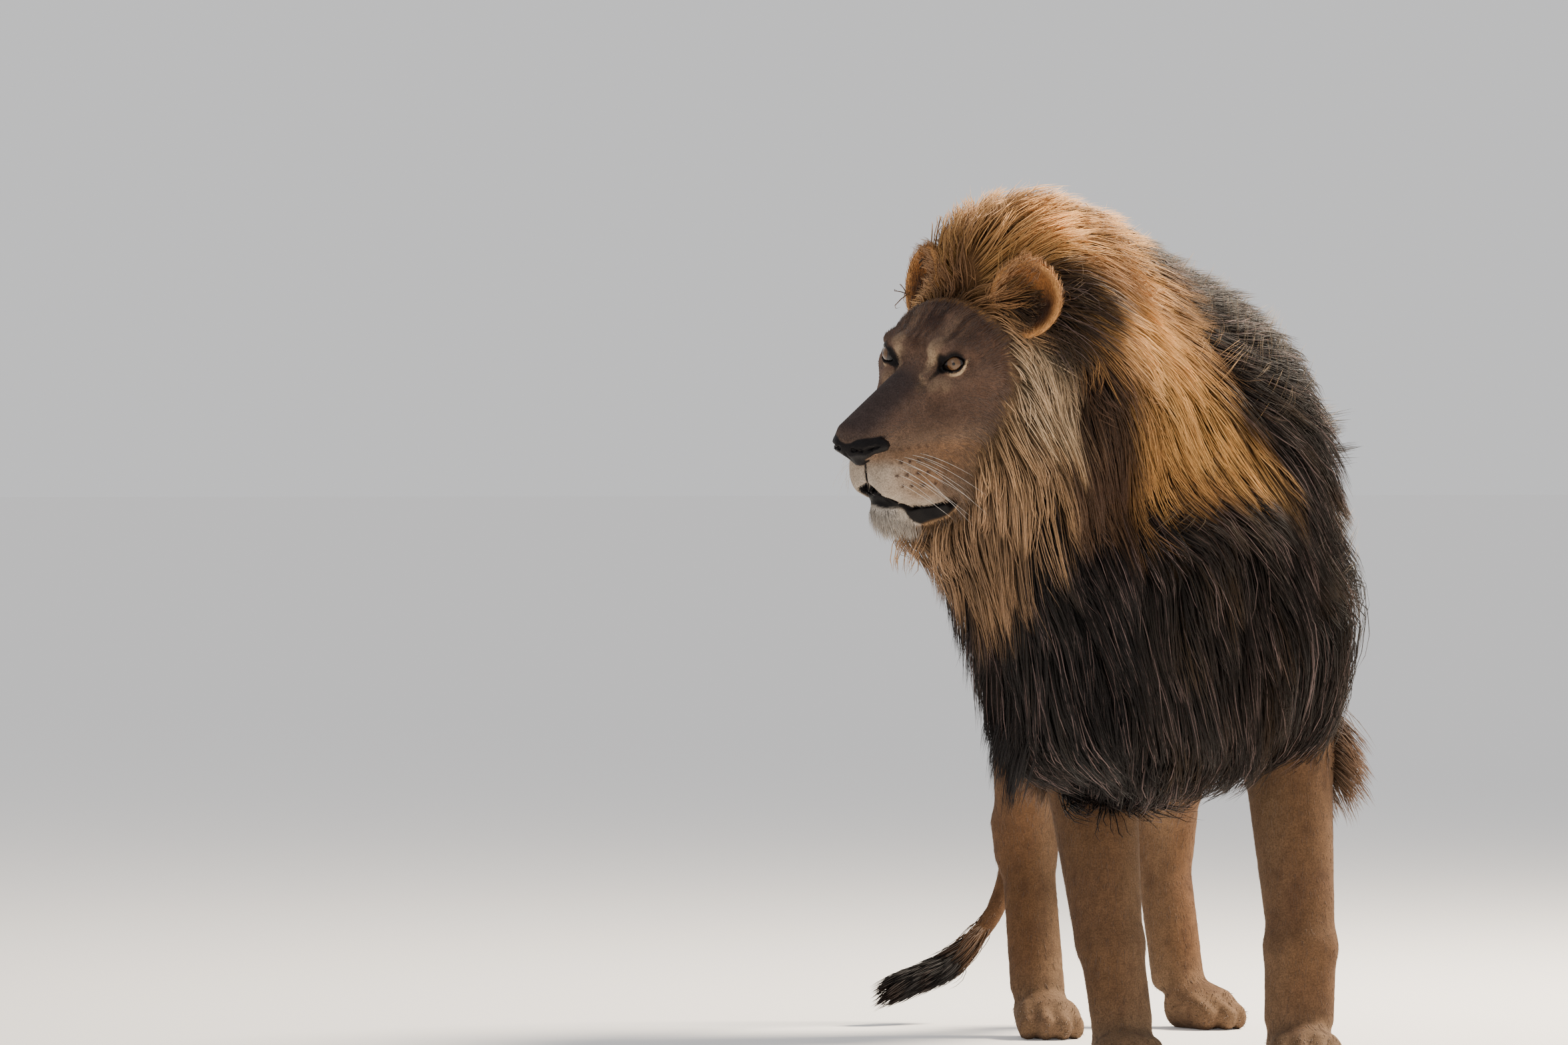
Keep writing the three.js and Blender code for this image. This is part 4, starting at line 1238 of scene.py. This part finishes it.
def mane_flow(p, n):
    """Up and back over the crest, back along the neck, down its flanks, and straight down by the cheeks."""
    q = to_head(p)
    x, y, z = q.T
    top = ramp(n[:, 2], -0.2, 0.9)
    along = (p - NECK_FROM) @ NECK_WAY
    way = lay(plain(NECK_WAY, p), np.array([0.0, 1.0, -0.2]), ramp(along, 180, 420))
    way = way * (0.38 + 0.62 * top)[:, None]
    way[:, 2] -= 0.95 * (1 - top) + 0.05
    ruff = ramp(behind_face(q), 150, 20) * ramp(z, 60, -10)
    crest = ramp(z, 50, 100) * ramp(y, 260, 120)
    crest_way = plain((0, 0.75, 0.62), p) + np.outer(x, (0.005, 0, 0))
    side = ramp(np.abs(x), 70, 120) * ramp(z, -20, 40) * ramp(z, 160, 100) * ramp(y, 330, 180)
    side_way = plain((0, 0.8, 0.1), p) + np.outer(np.sign(x), (0.9, 0, 0))
    return unit(paint(
        way,
        (np.array([0.02, 0.02, -1.0]), ruff * 0.9),
        (crest_way @ HEAD_AXES.T, crest),
        (side_way @ HEAD_AXES.T, side * 0.7),
    ))


def wander(p, size, amount, seed):
    """A direction that changes smoothly from place to place, so that neighbouring tufts draw together."""
    return amount * (np.stack([noise(p, size, seed + 3.1 * i) for i in range(3)], axis=1) - 0.5) * 2


class Skin:
    """The skin's triangles, for rooting tufts: corners, normals, areas and places on its unwrap."""

    def __init__(self, mesh, places, values, low):
        self.values, self.low = values, low
        mesh.calc_loop_triangles()
        self.corners = places[read(mesh.loop_triangles, "vertices", 3, int)]
        uv = read(mesh.uv_layers["OFBake"].uv, "vector", 2)
        self.uv = uv[read(mesh.loop_triangles, "loops", 3, int)]
        cross = np.cross(self.corners[:, 1] - self.corners[:, 0], self.corners[:, 2] - self.corners[:, 0])
        self.area = np.linalg.norm(cross, axis=1) / 2
        self.normal = unit(cross)
        self.centre = self.corners.mean(axis=1)

    def roots(self, weight, count):
        """Random places on the triangles, weighed by area and the weight given, with normals and unwrap."""
        share = self.area * weight
        chosen = np.sort(random.choice(len(share), count, p=share / share.sum()))
        a, b = random.random((2, count, 1))
        flip = (a + b) > 1
        a, b = np.where(flip, 1 - a, a), np.where(flip, 1 - b, b)

        def inside(corner):
            return corner[chosen, 0] * (1 - a - b) + corner[chosen, 1] * a + corner[chosen, 2] * b

        return inside(self.corners), self.normal[chosen], inside(self.uv)

    def away(self, points, step=4.0):
        """How far points are from the skin, and the way out."""
        value = read_grid(self.values, self.low, points)
        slope = [read_grid(self.values, self.low, points + step * np.eye(3)[i]) - value for i in range(3)]
        return value, unit(np.stack(slope, axis=1))


ROOT_DEPTH = 1.0  # how far under the skin a tuft starts
MOST_OFF, MOST_CLIMB, MOST_SINK = 40, 13, 30  # the most a point is moved off the skin, and between levels
OUTER_LEVEL = 5  # the level of the mane's form that tufts are drawn back to
FLOOR_CLEAR = 2  # the least height of a point over the floor
LOCK_SIZE = 85  # the size of the places in which tufts draw together


def grow(skin, roots, normals, flow, length, steps, lift, clear, layer=None, stiff=0.5, swing=0.0):
    """Tufts as lines of points: each step follows the lie of the coat and is kept off the skin. With a layer,
    the line also climbs from its root to that level of the mane's outer form, and stays in it."""
    size = (length / steps)[:, None]
    way = flow(roots, normals) + wander(roots, LOCK_SIZE, swing, 1.0)
    way = way - normals * (way * normals).sum(axis=1, keepdims=True)
    way = unit(unit(way) * np.cos(lift)[:, None] + normals * np.sin(lift)[:, None])
    line = [roots - normals * ROOT_DEPTH]
    start = 0 if layer is None else mane_field(roots)
    for step in range(1, steps + 1):
        share = step / steps
        new = line[-1] + way * size
        value, out = skin.away(new)
        new = new + out * np.clip(clear * min(1.0, 2 * share) - value, 0, MOST_OFF)[:, None]
        if layer is not None:
            level = mane_field(new)
            outward = unit(slope_of(mane_field, new, level, 3.0))
            target = start + (layer - start) * share**0.85
            along = np.abs((outward * way).sum(axis=1))
            change = np.clip(target - level, -MOST_CLIMB, MOST_CLIMB) * (1 - along**2)
            change -= np.clip(level - OUTER_LEVEL, 0, MOST_SINK) * along**2
            new = new + outward * change[:, None]
            out = outward
        done = unit(new - line[-1])
        new = line[-1] + done * size
        new[:, 2] = np.maximum(new[:, 2], FLOOR_CLEAR)
        way = unit(done * stiff + flow(new, out) * (1 - stiff) + wander(new, LOCK_SIZE, swing * 0.5, 1.0))
        line.append(new)
    return np.stack(line, axis=1)


def gather(paths, roots, every, hold, stray=0.1):
    """Draws each tuft's points towards a leader's, more and more to the tip, so that tufts hang in locks."""
    leaders = random.choice(len(paths), max(1, len(paths) // every), replace=False)
    nearest = np.concatenate([
        np.argmin(((part[:, None] - roots[leaders][None]) ** 2).sum(axis=2), axis=1)
        for part in np.array_split(roots, max(1, len(roots) // 400))
    ])
    lead = paths[leaders[nearest]]
    apart = (roots - roots[leaders[nearest]])[:, None]
    share = np.linspace(0, 1, paths.shape[1])[None, :, None]
    pull = hold * share**1.3 * (1 - stray * random.random((len(paths), 1, 1)))
    return paths * (1 - pull) + (lead + apart * (1 - share * 0.75)) * pull


TUFT_PATCH = 0.003  # how much of the unwrap's width one tuft takes
TAPER = ([0, 0.3, 0.75, 1], [0.75, 1.0, 0.62, 0.1])  # places along a tuft, and the share of its width there


def tuft_mesh(name, paths, normals, width, colour, uv, flat):
    """Closed three-sided blades along lines of points: widest a third of the way up, tapering to a point."""
    count, rings = paths.shape[0], paths.shape[1] - 1
    ahead = unit(np.gradient(paths, axis=1))
    side = unit(np.cross(ahead, normals[:, None]))
    up = np.cross(side, ahead)
    share = np.linspace(0, 1, rings + 1)[:-1]
    taper = np.interp(share, *TAPER)
    half = (width[:, None] * taper)[..., None] / 2
    ring = paths[:, :-1]
    across, over = side[:, :-1] * half, up[:, :-1] * half * 2 * flat
    corners = np.stack([ring - across, ring + over, ring + across], axis=2)
    points = np.concatenate([corners.reshape(count, rings * 3, 3), paths[:, -1:]], axis=1)
    faces = [(0, 1, 2)]
    for k in range(rings - 1):
        for i in range(3):
            a, b = k * 3 + i, k * 3 + (i + 1) % 3
            faces += [(a, a + 3, b), (b, a + 3, b + 3)]
    last = (rings - 1) * 3
    faces += [(last + i, rings * 3, last + (i + 1) % 3) for i in range(3)]
    faces = np.array(faces)
    each = rings * 3 + 1
    triangles = (faces[None] + (np.arange(count) * each)[:, None, None]).reshape(-1)
    mesh = bpy.data.meshes.new(name)
    mesh.vertices.add(count * each)
    mesh.vertices.foreach_set("co", to_frame(points.reshape(-1, 3)).ravel())
    mesh.loops.add(len(triangles))
    mesh.loops.foreach_set("vertex_index", triangles)
    mesh.polygons.add(len(triangles) // 3)
    mesh.polygons.foreach_set("loop_start", np.arange(0, len(triangles), 3))
    mesh.update(calc_edges=True)
    give_pelt(mesh, np.repeat(colour, each, axis=0))
    along = np.append(np.repeat(share, 3), 1.0)
    give(mesh, "along", "FLOAT", "value", np.tile(along, count))
    across = np.append(np.tile([-0.5, 0.0, 0.5], rings), 0.0)
    patch = uv[:, None] + np.stack([across, along - 0.5], axis=1)[None] * TUFT_PATCH
    layer = mesh.uv_layers.new(name="OFBake")
    layer.uv.foreach_set("vector", patch.reshape(-1, 2)[triangles].astype("f4").ravel())
    return mesh


def hair(name, paths, normals, width, colour, uv, look, slot, flat=0.5):
    """Makes one piece of tufts."""
    make_object(name, tuft_mesh(name, paths, normals, width, colour, uv, flat), look, slot)


def tint(colour, spread, size, p):
    """Each tuft's own shade: lighter or darker by chance, and by broad locks."""
    tone = 1 + spread * (random.random(len(colour)) - 0.5) * 2 + spread * (noise(p, size, 4.0) - 0.5) * 1.6
    return np.clip(colour * tone[:, None], 0, 1)


def tuft_material(name, root, tip, sheen):
    """Hair: darker at the root and paler at the tip, partly its own colour and partly a painted backlit glow,
    broken along its length, with a soft sheen.
    """
    n = Nodes(name)
    along = n.attribute("along", "Fac")
    # the root-to-tip ramp is partly the hair's own colour and partly a painted backlit glow at the tip
    strength = n.ramp(along, 0.0, 1.0, root, tip)
    strength = n.maths("MULTIPLY", strength, n.ramp(n.noise(300, 2), 0.3, 0.7, 0.85, 1.15))
    tone = n.add("CombineColor", Red=strength, Green=strength, Blue=strength).outputs[0]
    n.look(Base_Color=n.mix(1.0, n.attribute("pelt", "Color"), tone, "MULTIPLY"))
    n.look(Roughness=0.6, Specular_IOR_Level=0.22, Sheen_Weight=sheen, Sheen_Roughness=0.35)
    n.bump(n.noise(900, 2), 0.3, 0.0006)
    return n.material


# ---- the pieces ----

FLESH = [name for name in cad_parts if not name.startswith("eye_")]


def dress_skin():
    """The skin's mesh with its markings, with painted shade under the mane, and how bare and glossy it is."""
    mesh, places, values = make_skin()
    mesh.vertices.foreach_set("co", to_frame(places).ravel())
    mesh.update()
    q = to_head(places)
    colours = markings(places)
    # painted shade: the skin deep under the mane is darkened by up to a half, as the hair over it shades it
    deep = ramp(mane_field(places), -4, -24) * ramp(behind_face(q), 0, 40)
    colours = colours * (1 - 0.5 * deep * (1 - ear_share(places, q)))[:, None]
    give_pelt(mesh, colours)
    give(mesh, "bare", "FLOAT", "value", ramp(colours.sum(axis=1), 0.12, 0.04) * (behind_face(q) < 0))
    return mesh, places, values


def unwrap(made):
    """The skin's own unwrap, as islands of faces that look nearly the same way."""
    bpy.context.view_layer.objects.active = made
    made.select_set(True)
    made.data.uv_layers.new(name="OFBake")
    bpy.ops.object.mode_set(mode="EDIT")
    bpy.ops.mesh.select_all(action="SELECT")
    bpy.ops.uv.smart_project(angle_limit=math.radians(60), island_margin=0.002)
    bpy.ops.object.mode_set(mode="OBJECT")
    made.select_set(False)


make_camera()
make_studio()
skin_mesh, skin_places, skin_values = dress_skin()
skin = make_object("skin", skin_mesh, skin_material(), "coat", *FLESH)
eye_look = eye_material()
make_eye(1, eye_look, "eye_left")
make_eye(-1, eye_look, "eye_right")
unwrap(skin)
ground = Skin(skin_mesh, skin_places, skin_values, SKIN_LOW)

# where the kinds of coat grow, for each of the skin's triangles
here, head_here = ground.centre, to_head(ground.centre)
x_here, y_here, z_here = here.T
mane_here, behind_here = mane_field(here), behind_face(head_here)
on_ear = ear_share(here, head_here)
past_face = np.where(near_head(head_here, 190, 400, 330), ramp(behind_here, 2, 26), 1)
with_flow = ramp((ground.normal * mane_flow(here, ground.normal)).sum(axis=1), -0.8, -0.45)
in_mane = np.maximum(ramp(mane_here, 8, -14), on_crown(head_here))
in_mane = in_mane * past_face * (mane_here > -95) * (1 - on_ear)
on_face = (1 - ramp(behind_here, 4, 30)) * near_head(head_here) * (1 - on_ear)
on_body = (1 - in_mane) * (1 - on_face) * (1 - on_ear) * (mane_here > -30)
in_mane = in_mane * with_flow
left_of_neck = (here - NECK_FROM) @ np.cross(NECK_WAY, (0, 0, 1)) > 0
in_crest = (head_here[:, 2] > 40) & (head_here[:, 1] < 400)
is_low = z_here < 930 + 0.25 * x_here
MANE_REGIONS = {
    "mane_crest": in_crest,
    "mane_neck_left": ~in_crest & ~is_low & left_of_neck,
    "mane_neck_right": ~in_crest & ~is_low & ~left_of_neck,
    "mane_chest_left": ~in_crest & is_low & left_of_neck,
    "mane_chest_right": ~in_crest & is_low & ~left_of_neck,
}
STEPS = 4  # the straight lengths in a long tuft
HEM_AT = 540  # where the mane's lower edge begins to thin out
HEM_DEPTH = (60, 260)  # how far below that the tufts reach, by chance
MANE_TUFTS, MANE_WIDE = 6950, 1.9  # in each region, and a tuft's width
MANE_LONG, CHEST_LONGER = 160, 55  # a tuft's length, and how much is added on the chest
DEEPEST, LAYER_SPAN, CREST_RISE = -26, 34, 14  # the levels of the mane's form that tufts grow to


def chance(count, low, high):
    """Random numbers between two limits."""
    return low + (high - low) * random.random(count)


def waves(paths, reach):
    """Bends each tuft in a slow wave of its own, wider to the tip."""
    count, points = paths.shape[:2]
    share = np.linspace(0, 1, points)[None, :, None]
    turn = 2 * math.pi * (random.random((count, 1, 3)) + share * chance(count, 0.5, 1.3)[:, None, None])
    return paths + reach * share * np.sin(turn) * unit(random.normal(size=(count, 1, 3)))


def even_hem(paths):
    """Draws up what hangs below the hem, or below its own root, to a depth that each tuft has by chance."""
    depth = chance(len(paths), *HEM_DEPTH)[:, None]
    top = np.minimum(HEM_AT, paths[:, :1, 2])
    hang = np.maximum(top - paths[..., 2], 0)
    paths[..., 2] += hang - hang * depth / (hang + depth)
    return paths


def mane_colour(paths):
    """The marking at the middle of a tuft, where it is seen. A few dark ones get a painted grey-violet sheen.
    """
    seen = paths[:, 2]
    colour = mane_paint(seen, to_head(seen))
    # painted sheen: a chance share of the darkest tufts is lightened towards grey-violet
    painted_sheen = (colour.sum(axis=1) < 0.1) * (random.random(len(paths)) < 0.12)
    return lay(colour, PAINTED_SHEEN_GREY, painted_sheen * 0.5)


def mane_piece(name, where, count):
    """Tufts of one region: longer on the chest, shorter at the edge, and shorter and paler by the face."""
    p, n, uv = ground.roots(in_mane * where, count)
    start = mane_field(p)
    low, front = ramp(p[:, 2], 820, 640), 1 - ramp(behind_face(to_head(p)), 0, 85)
    edge = np.maximum(ramp(start, -24, 0), ramp(p[:, 2], 570, 480))
    length = (MANE_LONG + CHEST_LONGER * low) * chance(count, 0.65, 1.25) * (1 - 0.6 * front)
    length = length * (1 - edge * chance(count, 0.1, 0.75))
    crest = ramp(n[:, 2], 0.3, 0.8) * ramp(p[:, 2], 1180, 1260)
    layer = DEEPEST + LAYER_SPAN * random.random(count) ** 0.7 + CREST_RISE * crest
    layer = start + (layer - start) * (1 - 0.8 * front)
    lift = np.radians(chance(count, 14, 34) + 16 * crest)
    paths = grow(ground, p, n, mane_flow, length, STEPS, lift, 8, layer, 0.5, 0.4)
    paths = even_hem(waves(gather(paths, p, 16, 0.7), 5))
    colour = tint(mane_colour(paths) * (1 + 0.4 * front[:, None]), 0.22, 36, p)
    width = MANE_WIDE * chance(count, 0.6, 1.4)
    hair(name, paths, n, width, colour, uv, mane_look, "gold_mane")


def short_piece(name, weight, count, length, width, lift, look, slot, flow=body_flow):
    """Short tufts over part of the skin; the length may be a function of the roots."""
    p, n, uv = ground.roots(weight, count)
    long = (length(p) if callable(length) else length) * chance(count, 0.75, 1.25)
    lift = np.radians(chance(count, lift * 0.5, lift * 1.5))
    paths = grow(ground, p, n, flow, long, 2, lift, 0.2, swing=0.15)
    width = width * chance(count, 0.7, 1.3)
    hair(name, paths, n, width, tint(markings(p), 0.07, 25, p), uv, look, slot, 0.25)


mane_look = tuft_material("mane_hair", 0.55, 1.28, 0.04)
fur_look = tuft_material("short_fur_tufts", 0.95, 1.1, 0.1)
for name, where in MANE_REGIONS.items():
    mane_piece(name, where, MANE_TUFTS)
short_piece("trunk_fur", on_body * (z_here >= 600), 13000, 26, 1.2, 3, fur_look, "coat")
short_piece("leg_fur", on_body * (z_here < 600), 14000, 16, 1.2, 5, fur_look, "coat")


def face_length(p):
    """Longer towards the cheeks' edge and on the chin."""
    q = to_head(p)
    chin = ramp(q[:, 2] - mouth_height(q), -14, -34) * ramp(q[:, 1], -20, -50)
    edge = ramp(behind_face(q), -30, 10) * ramp(q[:, 2], 70, 20)
    return 5 + 9 * ramp(behind_face(q), -90, -20) + 20 * edge + 20 * chin


opening_here = lid_opening(left_half(head_here), 1)[0]
furred = ramp(markings(here).sum(axis=1), 0.04, 0.09) * ramp(opening_here, 4, 8)
short_piece("face_fur", on_face * furred, 15500, face_length, 1.0, 10, fur_look, "short_fur")


def ear_flow(p, n):
    """Up from the ear's base, and outwards near its edge."""
    q = to_head(p)
    out = unit(q - EAR_AT * np.where(q[:, :1] < 0, (-1, 1, 1), 1))
    return unit((0.35 * out + (0, 0.15, 0.8)) @ HEAD_AXES.T)


short_piece("ear_fur", on_ear, 4500, 12, 1.1, 18, fur_look, "short_fur", ear_flow)


# ---- longer tufts: in the ears, elbows, belly, tail ----


def round_place(at, size):
    """1 at a place on the skin and 0 a size away."""
    return ramp(np.linalg.norm(here - np.array(at), axis=1), size, size * 0.4)


def one_way(*way):
    """A flow that is the same everywhere."""
    return lambda p, n: plain(unit(np.array(way, float)), p)


def long_piece(name, weight, count, length, width, way, lift, slot, swing=0.3, tone=UMBER, share=0.0):
    """Longer tufts that all hang one way, in locks; a share of the tone given is laid over the markings."""
    p, n, uv = ground.roots(weight, count)
    long = length * chance(count, 0.6, 1.15)
    lift = np.radians(chance(count, lift * 0.6, lift * 1.3))
    paths = grow(ground, p, n, one_way(*way), long, STEPS, lift, 2, stiff=0.55, swing=swing)
    paths = waves(gather(paths, p, 12, 0.6), 4)
    colour = tint(lay(markings(p), tone, np.full(count, share)), 0.2, 30, p)
    hair(name, paths, n, width * chance(count, 0.6, 1.3), colour, uv, mane_look, slot)


def lock(name, at, size, *measures, **more):
    """Longer dark tufts round one place."""
    long_piece(name, round_place(at, size), *measures, "dark_mane", **more)


lock("elbow_tuft_hair_left", (205, 110, 520), 80, 1000, 95, 1.9, (0.45, 0.45, -0.8), 48, share=0.1)
lock("elbow_tuft_hair_right", (-232, 100, 520), 75, 900, 80, 1.9, (-0.2, 0.6, -0.8), 40, share=0.1)
belly = ramp(np.abs(x_here + 18), 95, 50) * ramp(y_here, 60, 180) * ramp(y_here, 800, 650)
belly = belly * (z_here < 680) * (z_here > 540)
long_piece("belly_fringe_hair", belly * on_body, 2000, 65, 1.9, (0, 0.55, -0.85), 30, "coat")


def ear_hair():
    """Long soft hairs from the inner edge of each ear's cup, out across it."""
    count = 1400
    inner = (np.abs(head_here[:, 0]) < EAR_AT[0] + 2) * (head_here[:, 1] < EAR_AT[1] + 30)
    p, n, uv = ground.roots(on_ear * inner, count)

    def way(p, n):
        side = np.sign(to_head(p)[:, :1])
        return unit((side * (0.8, 0, 0) + (0, -0.25, 0.45)) @ HEAD_AXES.T)

    long = chance(count, 16, 36)
    lift = np.radians(chance(count, 10, 34))
    paths = grow(ground, p, n, way, long, STEPS, lift, 1, stiff=0.6, swing=0.35)
    paths = waves(gather(paths, p, 10, 0.5), 3)
    colour = tint(lay(markings(p), RUFF, np.full(count, 0.45)), 0.2, 20, p)
    hair("ear_hair", paths, n, chance(count, 0.7, 1.5), colour, uv, fur_look, "short_fur")


ear_hair()
black_lock = {"swing": 0.15, "tone": DARK, "share": 0.8}
lock("beard_lock_hair", (-335, -205, 605), 75, 450, 150, 2.0, (-0.28, 0, -1), 18, **black_lock)
black_lock["swing"] = 0.2
lock("withers_lock_hair", (135, 120, 1010), 75, 350, 125, 2.0, (0.9, 0.3, 0.15), 50, **black_lock)
after_mane = on_body * ramp(y_here, 460, 350) ** 2 * ramp(z_here, 600, 680)
long_piece("mane_edge_hair", after_mane, 1800, 90, 1.4, (0, 1, -0.3), 8, "dark_mane", 0.5, UMBER, 0.1)
# stray frizz on the mane's upper side; the cream over it is partly its own pale colour and partly a painted
# backlit glow
frizz = in_mane * ramp(ground.normal[:, 2], 0.1, 0.6) * ramp(behind_here, 60, 120)
long_piece("mane_frizz_hair", frizz, 2300, 84, 0.9, (0.4, 0.5, 0.5), 60, "gold_mane", 0.8, CREAM, 0.35)


def tail_tuft():
    """Tufts along the tail's last length, spreading from its own direction, in a spindle."""
    count = 1800
    to_tip = np.linalg.norm(here - TAIL_PATH[-1], axis=1)
    weight = ramp(tail_field(here), 4, 0) * ramp(to_tip, 190, 120) * (z_here < 240)
    p, n, uv = ground.roots(weight, count)
    long = chance(count, 40, 75)
    lift = np.radians(chance(count, 8, 24))
    paths = grow(ground, p, n, lambda p, n: tail_way(p), long, STEPS, lift, 1, stiff=0.5, swing=0.25)
    paths = gather(paths, p, 14, 0.5)
    colour = tint(markings(p), 0.25, 20, p)
    hair("tail_tuft_hair", paths, n, chance(count, 1.4, 2.8), colour, uv, mane_look, "dark_mane")


tail_tuft()


def make_whiskers():
    """Fine white whiskers: rows on each pad, bowed back and down, thicker at the root."""
    places = np.meshgrid((1, -1), np.arange(4), np.arange(4), indexing="ij")
    side, row, step = (place.ravel() for place in places)
    count = len(side)
    roots = np.stack([side * (44 + 3 * step), 15 * step + 3 * row - 122, -128 - 13 * row], axis=1)
    out, back, down = random.random((count, 3)).T
    way = np.stack([side * (0.85 + 0.25 * out), 0.2 + 0.5 * back, -0.1 - 0.12 * row - 0.2 * down], axis=1)
    start = settle(skin_field, from_head(roots.astype(float)), 4)
    way = unit(way) @ HEAD_AXES.T
    long = chance(count, 35, 100)[:, None, None]
    share = np.linspace(0, 1, 9)[None, :, None]
    bow = (np.array([0, 0, -0.34]) + np.array([0, 0.28, 0]) @ HEAD_AXES.T) * share**2
    paths = start[:, None] + long * (way[:, None] * share + bow)
    white = np.tile(shade(214, 206, 196), (count, 1))
    uv = np.stack([np.linspace(0.1, 0.9, count), np.full(count, 0.5)], axis=1)
    hair("whiskers", paths, way, np.full(count, 0.6), white, uv, fur_look, "short_fur", 0.8)


make_whiskers()
